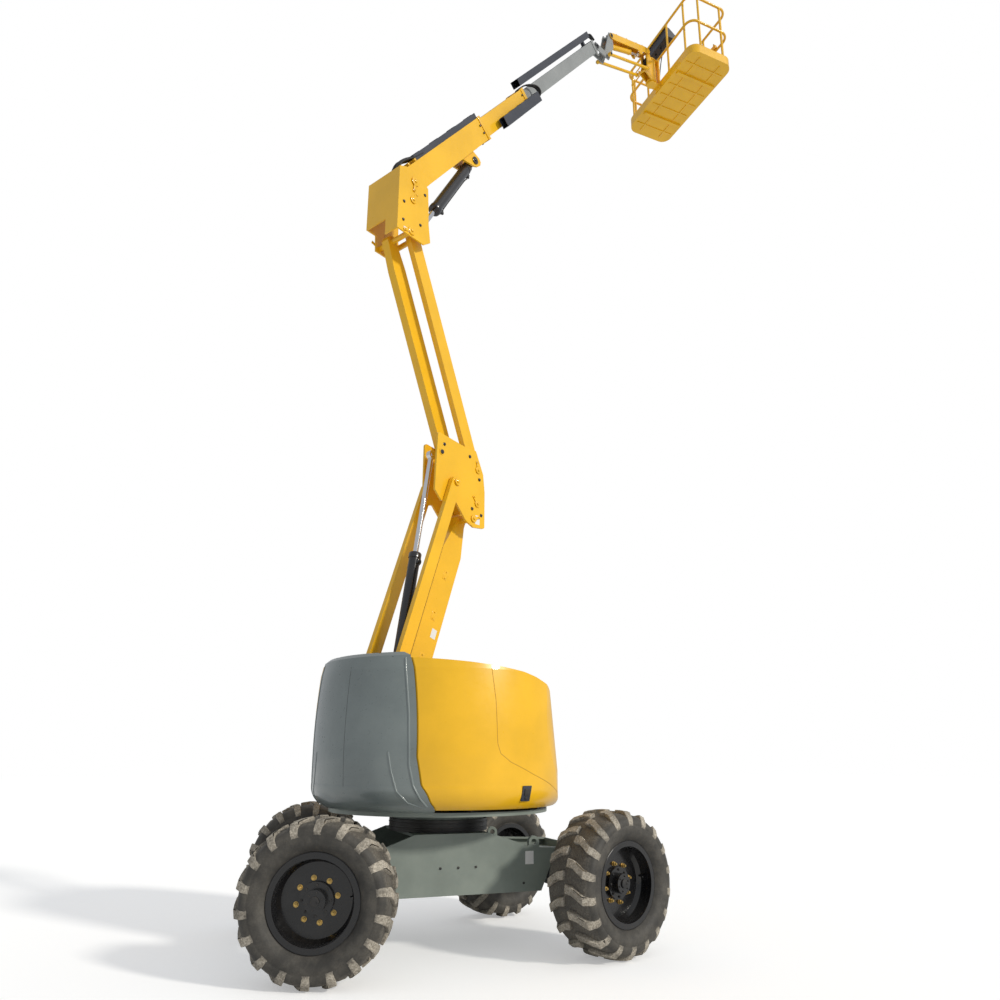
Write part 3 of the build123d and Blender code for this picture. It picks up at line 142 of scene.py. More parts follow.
class Graph:
    """A material's node tree, built with short calls."""

    def __init__(self, name: str) -> None:
        """Start a material of that name."""
        self.material = bpy.data.materials.new(name)
        self.material.use_nodes = True
        self.tree = self.material.node_tree
        self.bsdf = self.tree.nodes["Principled BSDF"]
        self.coords = self.tree.nodes.new("ShaderNodeTexCoord").outputs["Object"]

    def node(self, kind: str, **settings: object) -> bpy.types.Node:
        """New node with its properties set.

        Args:
            kind: node type name without its prefix.
            settings: node properties.

        Returns:
            The node.
        """
        made = self.tree.nodes.new("ShaderNode" + kind)
        for key, value in settings.items():
            setattr(made, key, value)
        return made

    def feed(self, socket: bpy.types.NodeSocket, value: object) -> None:
        """Link value to socket if it is a socket, or set it as the socket's constant.

        Args:
            socket: the input to feed.
            value: an output, a number or a colour.
        """
        if isinstance(value, bpy.types.NodeSocket):
            self.tree.links.new(value, socket)
        elif isinstance(value, tuple) and len(value) == 3 and socket.type == "RGBA":
            socket.default_value = (*value, 1.0)
        else:
            socket.default_value = value

    def noise(self, scale: float, detail: float = 3.0, rough: float = 0.5) -> bpy.types.NodeSocket:
        """Noise on object coordinates.

        Args:
            scale: grains per metre.
            detail: finer layers.
            rough: how much the finer layers count.

        Returns:
            Value from 0 to 1.
        """
        made = self.node("TexNoise")
        self.feed(made.inputs["Vector"], self.coords)
        self.feed(made.inputs["Scale"], scale)
        self.feed(made.inputs["Detail"], detail)
        self.feed(made.inputs["Roughness"], rough)
        return made.outputs["Fac"]

    def remap(self, value: bpy.types.NodeSocket, low: float, high: float, to_low: float,
              to_high: float) -> bpy.types.NodeSocket:
        """Value mapped from one range to another, clamped.

        Args:
            value: the value.
            low, high: its range.
            to_low, to_high: the new range.

        Returns:
            The mapped value.
        """
        made = self.node("MapRange")
        for socket, number in zip(made.inputs, (value, low, high, to_low, to_high)):
            self.feed(socket, number)
        return made.outputs["Result"]

    def math(self, kind: str, a: object, b: object = 0.0) -> bpy.types.NodeSocket:
        """One arithmetic step.

        Args:
            kind: operation.
            a, b: its two inputs.

        Returns:
            The result.
        """
        made = self.node("Math", operation=kind)
        self.feed(made.inputs[0], a)
        self.feed(made.inputs[1], b)
        return made.outputs[0]

    def mix(self, factor: object, a: object, b: object) -> bpy.types.NodeSocket:
        """Colour between two.

        Args:
            factor: 0 for the first, 1 for the second.
            a, b: the two colours.

        Returns:
            The mixed colour.
        """
        made = self.node("Mix", data_type="RGBA")
        self.feed(made.inputs["Factor"], factor)
        colours = [s for s in made.inputs if s.type == "RGBA"]
        self.feed(colours[0], a)
        self.feed(colours[1], b)
        return [s for s in made.outputs if s.type == "RGBA"][0]

    def bump(self, height: bpy.types.NodeSocket, depth: float) -> None:
        """Bump the surface.

        Args:
            height: height from 0 to 1.
            depth: metres that a height of 1 stands for.
        """
        made = self.node("Bump")
        self.feed(made.inputs["Strength"], 1.0)
        self.feed(made.inputs["Distance"], depth)
        self.feed(made.inputs["Height"], height)
        self.feed(self.bsdf.inputs["Normal"], made.outputs["Normal"])


def scaled(colour: Colour, factor: float) -> Colour:
    """Colour times factor."""
    return tuple(min(1.0, c * factor) for c in colour)


class PaintShop:
    """Makes and keeps one material for each finish."""

    def __init__(self) -> None:
        """Start with no material made."""
        self.made: dict[str, bpy.types.Material] = {}

    def of(self, slot: Slot) -> bpy.types.Material:
        """Material of a slot, made on first use.

        Args:
            slot: the record's slot.

        Returns:
            Its material.
        """
        if slot.value not in self.made:
            self.made[slot.value] = self.build(slot.value, FINISHES[slot])
        return self.made[slot.value]

    def custom(self, name: str, finish: Finish) -> bpy.types.Material:
        """Material of a finish that isn't one of the record's slots.

        Args:
            name: material name.
            finish: how it looks.

        Returns:
            The material.
        """
        if name not in self.made:
            self.made[name] = self.build(name, finish)
        return self.made[name]

    def dress(self, form: "Form", name: str, body: str, slot: Slot) -> None:
        """Close a form as a piece on a body, in its slot's own material."""
        form.piece(name, self.of(slot), body, slot)

    def gold(self) -> bpy.types.Material:
        """Zinc-yellow wheel nuts."""
        return self.custom("nut_gold", GOLD)

    def hose(self) -> bpy.types.Material:
        """Black hose rubber."""
        return self.custom("hose_rubber", HOSE)

    def white(self) -> bpy.types.Material:
        """Blank sign plates."""
        return self.custom("sign_white", WHITE)

    def red(self) -> bpy.types.Material:
        """Red of the stop button."""
        return self.custom("stop_red", RED)

    def shade(self) -> bpy.types.Material:
        """Darker yellow for a moulded line: painted shade in its groove."""
        return self.custom("yellow_painted_shade_line", YELLOW_PAINTED_SHADE)

    def dark(self) -> bpy.types.Material:
        """Darker grey for a moulded line: painted shade in its groove."""
        return self.custom("grey_painted_shade_line", GREY_PAINTED_SHADE)

    def rubber(self) -> bpy.types.Material:
        """Tyre rubber with dried mud on the lugs, from the mesh's dust values.

        Returns:
            The material.
        """
        if "tyre_rubber" in self.made:
            return self.made["tyre_rubber"]
        finish = FINISHES[Slot.TYRE]
        g = Graph("tyre_rubber")
        patches = g.noise(*MUD_PATCHES)
        fine = g.noise(*MUD_SPECKS)
        value = g.node("Attribute", attribute_name="dust")
        spread = g.math("MULTIPLY", g.remap(fine, 0.30, 0.62, 0.45, 1.0),
                        g.remap(patches, 0.28, 0.60, 0.35, 1.0))
        mud = g.math("MULTIPLY", value.outputs["Fac"], spread)
        film = g.remap(patches, 0.40, 0.75, 0.03, 0.16)
        amount = g.math("MAXIMUM", mud, film)
        clay = g.mix(g.remap(fine, 0.35, 0.65, 0.0, 1.0), *CLAY)
        g.feed(g.bsdf.inputs["Base Color"], g.mix(amount, finish.colour, clay))
        g.feed(g.bsdf.inputs["Roughness"], g.remap(amount, 0.0, 1.0, 0.62, 0.95))
        g.bump(fine, 0.0008)
        self.made["tyre_rubber"] = g.material
        return g.material

    @staticmethod
    def build(name: str, finish: Finish) -> bpy.types.Material:
        """Procedural material from a finish: patchy colour, dust on top faces and a fine grain.

        Args:
            name: material name.
            finish: how it looks.

        Returns:
            The material.
        """
        g = Graph(name)
        patches = g.noise(*PATCHES)
        fine = g.noise(*SPECKS)
        wear = finish.wear
        base = g.mix(g.remap(patches, 0.35, 0.65, 0.0, 1.0), scaled(finish.colour, 1 - wear),
                     scaled(finish.colour, 1 + wear * 0.6))
        geometry = g.node("NewGeometry")
        split = g.node("SeparateXYZ")
        g.feed(split.inputs[0], geometry.outputs["Normal"])
        upward = g.remap(split.outputs["Z"], 0.15, 0.95, 0.0, 1.0)
        speckle = g.remap(fine, 0.35, 0.7, 0.25, 1.0)
        dust = g.math("MULTIPLY", g.math("MULTIPLY", upward, speckle), finish.dust)
        film = g.math("MULTIPLY", g.remap(patches, 0.45, 0.75, 0.0, 1.0), finish.dust * 0.35)
        amount = g.math("MAXIMUM", dust, film)
        g.feed(g.bsdf.inputs["Base Color"], g.mix(amount, base, finish.dust_colour))
        rough = g.math("ADD", g.remap(fine, 0.3, 0.7, finish.roughness * 0.85, finish.roughness * 1.2),
                       g.math("MULTIPLY", amount, 0.4))
        g.feed(g.bsdf.inputs["Roughness"], rough)
        g.feed(g.bsdf.inputs["Metallic"], finish.metallic)
        g.feed(g.bsdf.inputs["Coat Weight"], finish.coat)
        g.feed(g.bsdf.inputs["Coat Roughness"], COAT_ROUGHNESS)
        g.bump(g.noise(finish.grain, 2.0, 0.5), finish.bump)
        return g.material


@dataclass
class Studio:
    """Camera, light, backdrop and floor.

    Args:
        sensor, clip: camera sensor width in mm and how far it sees in metres.
        sky, fill: colour and strength of the soft light from all round.
        sun_power, sun_size, sun_colour, sun_way: strength, width in degrees, colour and direction of the sun.
        ground, ground_rough, glow: grey of the floor, its roughness and how much it shines to the camera.
        ground_size: from the floor's middle to its edge.
    """

    sensor: float = 36.0
    clip: float = 200.0
    sky: Colour = (0.93, 0.96, 1.0)
    fill: float = 0.50
    sun_power: float = 2.10
    sun_size: float = 6.0
    sun_colour: Colour = (1.0, 0.96, 0.88)
    sun_way: Point = (-0.72, 0.95, -0.62)
    ground: Colour = (0.86, 0.86, 0.86)
    ground_rough: float = 0.9
    glow: float = 0.35
    ground_size: float = 60.0

    def build(self) -> None:
        """Make all of the studio."""
        self.camera()
        self.world()
        self.lights()
        self.floor()

    def camera(self) -> None:
        """Camera at eye height near the rear right corner, tilted up."""
        data = bpy.data.cameras.new("camera")
        data.lens = CAMERA_LENS
        data.sensor_width = self.sensor
        data.shift_y = CAMERA_SHIFT
        data.clip_end = self.clip
        camera = bpy.data.objects.new("camera", data)
        bpy.context.collection.objects.link(camera)
        turn = Matrix.Rotation(-CAMERA_HEADING, 4, "Z") @ Matrix.Rotation(math.pi / 2 + CAMERA_PITCH, 4, "X")
        camera.matrix_world = Matrix.Translation(CAMERA_AT) @ turn @ Matrix.Rotation(CAMERA_ROLL, 4, "Z")
        bpy.context.scene.camera = camera

    def world(self) -> None:
        """White to the camera, a soft pale sky for the rest."""
        world = bpy.data.worlds.new("studio")
        bpy.context.scene.world = world
        world.use_nodes = True
        tree = world.node_tree
        fill = tree.nodes["Background"]
        fill.inputs["Color"].default_value = (*self.sky, 1.0)
        fill.inputs["Strength"].default_value = self.fill
        white = tree.nodes.new("ShaderNodeBackground")
        white.inputs["Color"].default_value = (1.0, 1.0, 1.0, 1.0)
        path = tree.nodes.new("ShaderNodeLightPath")
        pick = tree.nodes.new("ShaderNodeMixShader")
        either = tree.nodes.new("ShaderNodeMath")
        either.operation = "MAXIMUM"
        tree.links.new(path.outputs["Is Camera Ray"], either.inputs[0])
        tree.links.new(path.outputs["Is Transmission Ray"], either.inputs[1])
        tree.links.new(either.outputs[0], pick.inputs["Fac"])
        tree.links.new(fill.outputs[0], pick.inputs[1])
        tree.links.new(white.outputs[0], pick.inputs[2])
        tree.links.new(pick.outputs[0], tree.nodes["World Output"].inputs["Surface"])

    def lights(self) -> None:
        """A wide low sun from the camera's right."""
        sun = bpy.data.lights.new("sun", "SUN")
        sun.energy = self.sun_power
        sun.angle = math.radians(self.sun_size)
        sun.color = self.sun_colour
        lamp = bpy.data.objects.new("sun", sun)
        bpy.context.collection.objects.link(lamp)
        lamp.matrix_world = Vector(self.sun_way).to_track_quat("-Z", "Y").to_matrix().to_4x4()

    def floor(self) -> None:
        """Pale floor that shines a little to the camera alone."""
        mesh = bpy.data.meshes.new("floor")
        bm = bmesh.new()
        bmesh.ops.create_grid(bm, x_segments=1, y_segments=1, size=self.ground_size)
        bm.to_mesh(mesh)
        bm.free()
        floor = bpy.data.objects.new("floor", mesh)
        bpy.context.collection.objects.link(floor)
        g = Graph("floor")
        g.feed(g.bsdf.inputs["Base Color"], self.ground)
        g.feed(g.bsdf.inputs["Roughness"], self.ground_rough)
        g.feed(g.bsdf.inputs["Emission Color"], (1.0, 1.0, 1.0))
        path = g.node("LightPath")
        g.feed(g.bsdf.inputs["Emission Strength"],
               g.math("MULTIPLY", path.outputs["Is Camera Ray"], self.glow))
        mesh.materials.append(g.material)


ALONG_X = Matrix.Rotation(math.pi / 2, 4, "Y")        # local Z turned to +X
ALONG_Y_NEG = Matrix.Rotation(math.pi / 2, 4, "X")    # local Z turned to -Y
ALONG_Y_POS = Matrix.Rotation(-math.pi / 2, 4, "X")   # local Z turned to +Y


def moved(x: float, y: float, z: float) -> Matrix:
    """Shift by (x, y, z)."""
    return Matrix.Translation((x, y, z))


def sideways(y: float) -> Matrix:
    """Turn that points the local Z out to the side of y, right when it is negative."""
    return ALONG_Y_NEG if y < 0 else ALONG_Y_POS


def routed(at: Matrix, points: Iterable[Point]) -> list[Vector]:
    """Points of a frame in the shared frame."""
    return [at @ Vector(p) for p in points]


def turret_at(x: float, y: float, z: float) -> Vector:
    """Point of the turret's own frame in the shared frame."""
    return Matrix.Rotation(SLEW, 4, "Z") @ Vector((x, y, z))


def turret_matrix(x: float, y: float, z: float, angle: float = 0.0) -> Matrix:
    """Frame at a point of the turret, its X raised by angle degrees in the turret's upright plane."""
    return Matrix.Rotation(SLEW, 4, "Z") @ moved(x, y, z) @ Matrix.Rotation(-math.radians(angle), 4, "Y")


def reach(pin: Spot, angle: float, along: float, across: float = 0.0) -> Spot:
    """Point of a link.

    Args:
        pin: (x, z) where the link starts.
        angle: the link's angle in degrees.
        along, across: the point along the link and up from it.

    Returns:
        (x, z) of the point.
    """
    a = math.radians(angle)
    return (pin[0] + along * math.cos(a) - across * math.sin(a),
            pin[1] + along * math.sin(a) + across * math.cos(a))


def step(pin: Spot, dx: float, dz: float) -> Spot:
    """Pin moved by (dx, dz)."""
    return (pin[0] + dx, pin[1] + dz)


def heading(foot: Spot, eye: Spot) -> float:
    """Angle in degrees of the line from foot to eye."""
    return math.degrees(math.atan2(eye[1] - foot[1], eye[0] - foot[0]))


# pins (x, z) in the turret's upright plane and angles of the links, as in the CAD model; metres and degrees
LOWER_PIN = (-0.5935, 1.204)
LOWER_ANGLE = 70.5
LEAN = 180.0 - 66.4
BOOM_ANGLE = 52.8
JIB_ANGLE = 30.6
LOWER_TOP = reach(LOWER_PIN, LOWER_ANGLE, 2.422)
TIE_TOP = step(LOWER_TOP, -0.285, 0.262)
UPPER_PIN = step(LOWER_TOP, 0.050, 0.153)
HEAD_PIN = reach(UPPER_PIN, LEAN, 2.515)
UPPER_TIE_PIN = step(UPPER_PIN, 0.005, 0.330)
UPPER_TIE_TOP = step(HEAD_PIN, 0.005, 0.330)
ARM_FOOT = step(LOWER_PIN, -0.0465, 0.246)
ARM_EYE = step(LOWER_TOP, -0.430, 0.518)
BOOM_PIN = step(HEAD_PIN, 0.019, 0.533)
BOOM_EYE = step(HEAD_PIN, 0.192, 0.099)
BOOM_LUG = (1.337, -0.187)     # the boom cylinder's pin, along the boom and up from its pin
BOOM_FOOT = reach(BOOM_PIN, BOOM_ANGLE, *BOOM_LUG)
NOSE = reach(BOOM_PIN, BOOM_ANGLE, 5.850)
JIB_ROOT = step(NOSE, 0.386, 0.508)
JIB_LOW_ROOT = step(JIB_ROOT, -0.115, -0.458)
JIB_LENGTH = 1.350
JIB_TIP = reach(JIB_ROOT, JIB_ANGLE, JIB_LENGTH)
JIB_FOOT = step(JIB_ROOT, 0.035, -0.120)
JIB_EYE = reach(JIB_ROOT, JIB_ANGLE, 1.000, -0.072)
BASKET_AXIS = step(JIB_TIP, 0.165, 0.0)
BASKET_TURN = math.radians(-25.8)
BOOM_RISE = 0.018              # the sections' middle line above the boom's pin

# widths of bevels: fine edges, plain edges and soft edges
FINE = 0.001
EDGE = 0.002
SOFT = 0.003
ROUNDS = 2        # steps of a bevel
CREASE = 0.6      # radians between two faces, above which their edge is bevelled
HEX = 6


@dataclass(frozen=True)
class Bolt:
    """A hexagon head.

    Args:
        radius: to its corners.
        height: how far it stands out.
        bevel: width of its bevel.
    """

    radius: float
    height: float
    bevel: float = 0.0


WHEEL_NUT = Bolt(0.0155, 0.020, EDGE)
HUB_BOLT = Bolt(0.0085, 0.009, 0.0015)
CAP_BOLT = Bolt(0.0065, 0.006, FINE)
DRAIN_PLUG = Bolt(0.010, 0.014, EDGE)
KEEPER_BOLT = Bolt(0.0095, 0.008, 0.0015)
CLAMP_BOLT = Bolt(0.008, 0.006, FINE)
PORT_NUT = Bolt(0.011, 0.014, EDGE)
PAD_TOP_BOLT = Bolt(0.012, 0.008, EDGE)
PAD_LOW_BOLT = Bolt(0.012, 0.014, EDGE)
PAD_SIDE_BOLT = Bolt(0.012, 0.012, EDGE)
LUG_BOLT = Bolt(0.013, 0.016, EDGE)
FLANGE_BOLT = Bolt(0.0045, 0.005)
WEIGHT_BOLT = Bolt(0.019, 0.016, SOFT)
FRAME_BOLT = Bolt(0.010, 0.007, 0.0015)
RING_BOLT = Bolt(0.011, 0.0045, FINE)
AXLE_BOLT = Bolt(0.008, 0.008, FINE)
KINGPIN_BOLT = Bolt(0.012, 0.008, EDGE)
COVER_BOLT = Bolt(0.006, 0.005, FINE)


def sharp_edges(verts: Iterable[bmesh.types.BMVert], crease: float) -> list[bmesh.types.BMEdge]:
    """Edges at some vertices that are sharp, each once and in a fixed order.

    Args:
        verts: the vertices.
        crease: radians between two faces, above which their edge is sharp.

    Returns:
        The edges.
    """
    return list(dict.fromkeys(e for v in verts for e in v.link_edges
                              if e.is_manifold and e.calc_face_angle(0.0) > crease))


class Form:
    """A mesh under construction in the shared frame."""

    def __init__(self) -> None:
        """Start with an empty mesh."""
        self.bm = bmesh.new()

    def settle(self, verts: Iterable[bmesh.types.BMVert], at: Matrix, bevel: float) -> None:
        """Move new vertices to their place and bevel the sharp edges between them.

        Args:
            verts: the new vertices.
            at: their place.
            bevel: width of the bevel, or 0 for none.
        """
        verts = list(verts)
        bmesh.ops.transform(self.bm, matrix=at, verts=verts)
        if bevel > 0:
            bmesh.ops.bevel(self.bm, geom=sharp_edges(verts, CREASE), offset=bevel, segments=ROUNDS,
                            profile=0.5, affect="EDGES", material=-1, clamp_overlap=True)

    def drum(self, at: Matrix, radius: float, length: float, sides: int = 24, bevel: float = 0.0,
             top: float | None = None) -> "Form":
        """Round or six-sided bar along the matrix's Z from its origin.

        Args:
            at: place of its foot.
            radius: radius at the foot.
            length: length along Z.
            sides: number of sides.
            bevel: width of the bevel round its ends.
            top: radius at the far end, or None for the same.

        Returns:
            This form.
        """
        made = bmesh.ops.create_cone(self.bm, cap_ends=True, cap_tris=False, segments=sides, radius1=radius,
                                     radius2=radius if top is None else top, depth=length)
        self.settle(made["verts"], at @ moved(0, 0, length / 2), bevel)
        return self

    def head(self, at: Matrix, bolt: Bolt) -> "Form":
        """Hexagon head that stands along the matrix's Z."""
        return self.drum(at, bolt.radius, bolt.height, HEX, bolt.bevel)

    def block(self, at: Matrix, size: Point, bevel: float = 0.0) -> "Form":
        """Box about the matrix's origin.

        Args:
            at: its place.
            size: its size along each axis.
            bevel: width of the bevel on its edges.

        Returns:
            This form.
        """
        made = bmesh.ops.create_cube(self.bm, size=1.0)
        bmesh.ops.scale(self.bm, vec=size, verts=made["verts"])
        self.settle(made["verts"], at, bevel)
        return self

    def turned(self, at: Matrix, profile: Sequence[Spot], steps: int = 48, closed: bool = False) -> "Form":
        """Profile of (radius, z) points turned about the matrix's Z.

        Args:
            at: place and axis.
            profile: the points, in order.
            steps: faces round the axis.
            closed: join the last point to the first.

        Returns:
            This form.
        """
        verts = [self.bm.verts.new((r, 0.0, z)) for r, z in profile]
        pairs = list(zip(verts, verts[1:])) + ([(verts[-1], verts[0])] if closed else [])
        edges = [self.bm.edges.new(pair) for pair in pairs]
        before = set(self.bm.verts) - set(verts)
        bmesh.ops.spin(self.bm, geom=verts + edges, cent=(0, 0, 0), axis=(0, 0, 1), angle=math.tau,
                       steps=steps, use_merge=True, use_duplicate=False)
        new = [v for v in self.bm.verts if v not in before]
        bmesh.ops.remove_doubles(self.bm, verts=new, dist=0.00001)
        new = [v for v in self.bm.verts if v not in before]
        bmesh.ops.transform(self.bm, matrix=at, verts=new)
        return self

    def pipe(self, points: Sequence[Sequence[float]], radius: float, sides: int = 5) -> "Form":
        """Hose or hard pipe that is held along its route, swept along a smooth curve near the points.

        Args:
            points: the route in the shared frame.
            radius: radius of the pipe.
            sides: fineness of its round section.

        Returns:
            This form.
        """
        curve = bpy.data.curves.new("route", "CURVE")
        curve.dimensions = "3D"
        curve.bevel_depth = radius
        curve.bevel_resolution = sides
        curve.resolution_u = 8
        curve.use_fill_caps = True
        spline = curve.splines.new("NURBS")
        spline.points.add(len(points) - 1)
        for point, place in zip(spline.points, points):
            point.co = (*place, 1.0)
        spline.order_u = 3
        spline.use_endpoint_u = True
        holder = bpy.data.objects.new("route", curve)
        mesh = bpy.data.meshes.new_from_object(holder)
        self.bm.from_mesh(mesh)
        bpy.data.objects.remove(holder)
        bpy.data.curves.remove(curve)
        bpy.data.meshes.remove(mesh)
        return self

    def piece(self, name: str, material: bpy.types.Material, body: str, slot: Slot, sharp: float = 35.0,
              replaces: Sequence[str] = ()) -> None:
        """Close the form as one object that rides on a body.

        Args:
            name: plain name of the piece.
            material: its material.
            body: the CAD body it moves with.
            slot: the record's slot; not used.
            sharp: edges above this angle in degrees stay sharp.
            replaces: CAD nodes that it stands for.
        """
        bmesh.ops.recalc_face_normals(self.bm, faces=self.bm.faces)
        mesh = bpy.data.meshes.new(name)
        self.bm.to_mesh(mesh)
        self.bm.free()
        mesh.shade_smooth()
        mesh.set_sharp_from_angle(angle=math.radians(sharp))
        mesh.materials.append(material)
        made = bpy.data.objects.new(name, mesh)
        bpy.context.collection.objects.link(made)
        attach(made, body)
        if replaces:
            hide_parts(*replaces)
        LOG.info("%s: %d faces", name, len(mesh.polygons))


def surface(node: str, start: Vector, toward: Vector) -> tuple[Vector, Vector]:
    """Where a ray meets a CAD node.

    Args:
        node: the CAD node.
        start: where the ray starts.
        toward: where it goes.

    Returns:
        The place and the node's normal there.
    """
    hit, place, normal, _ = frame["nodes"][node].ray_cast(start, toward.normalized())
    if not hit:
        raise ValueError(f"no surface of {node} from {tuple(start)}")
    return place, normal


def facing(place: Vector, normal: Vector) -> Matrix:
    """Frame at a place with its Z along the normal and its Y as upright as it can be.

    Args:
        place: its origin.
        normal: its Z.

    Returns:
        The frame.
    """
    z = normal.normalized()
    x = Vector((0, 0, 1)).cross(z).normalized()
    return Matrix.Translation(place) @ Matrix((x, z.cross(x), z)).transposed().to_4x4()


def ring_places(count: int, radius: float, turn: float = 0.0) -> list[Matrix]:
    """Places evenly round the local Z.

    Args:
        count: how many.
        radius: their radius.
        turn: where the first stands, in radians.

    Returns:
        A frame at each place.
    """
    return [Matrix.Rotation(turn + math.tau * i / count, 4, "Z") @ moved(radius, 0, 0) for i in range(count)]


# radius and distance from the wheel's middle plane, from the bead to the shoulder
CARCASS = [(0.2735, 0.1645), (0.303, 0.1665), (0.309, 0.176), (0.318, 0.182), (0.322, 0.188),
           (0.345, 0.2005), (0.352, 0.2045), (0.372, 0.2095), (0.400, 0.2110), (0.405, 0.2085),
           (0.412, 0.2085), (0.417, 0.2100), (0.432, 0.2075), (0.452, 0.198), (0.470, 0.176),
           (0.4795, 0.150), (0.484, 0.06)]
# z, low and high radius, share of the pitch the lug trails, width against the middle
LUG_ROWS = [(0.010, 0.470, 0.510, 0.0, 1.0), (0.070, 0.470, 0.510, 0.06, 0.98),
            (0.120, 0.465, 0.506, 0.22, 1.0), (0.166, 0.452, 0.499, 0.38, 1.02),
            (0.196, 0.425, 0.462, 0.43, 0.98), (0.2105, 0.402, 0.428, 0.45, 0.9)]
# how dusty the carcass's tread, a lug's top and a lug's foot are, 0 to 1
TREAD_DUST, LUG_TOP_DUST, LUG_FOOT_DUST = 0.25, 1.0, 0.35
LUG_CREASE = 0.7   # radians between two faces of a lug, above which their edge is bevelled
VALVE_STEM = [(0.236, 0.03, 0.075), (0.232, 0.03, 0.100), (0.222, 0.028, 0.125)]


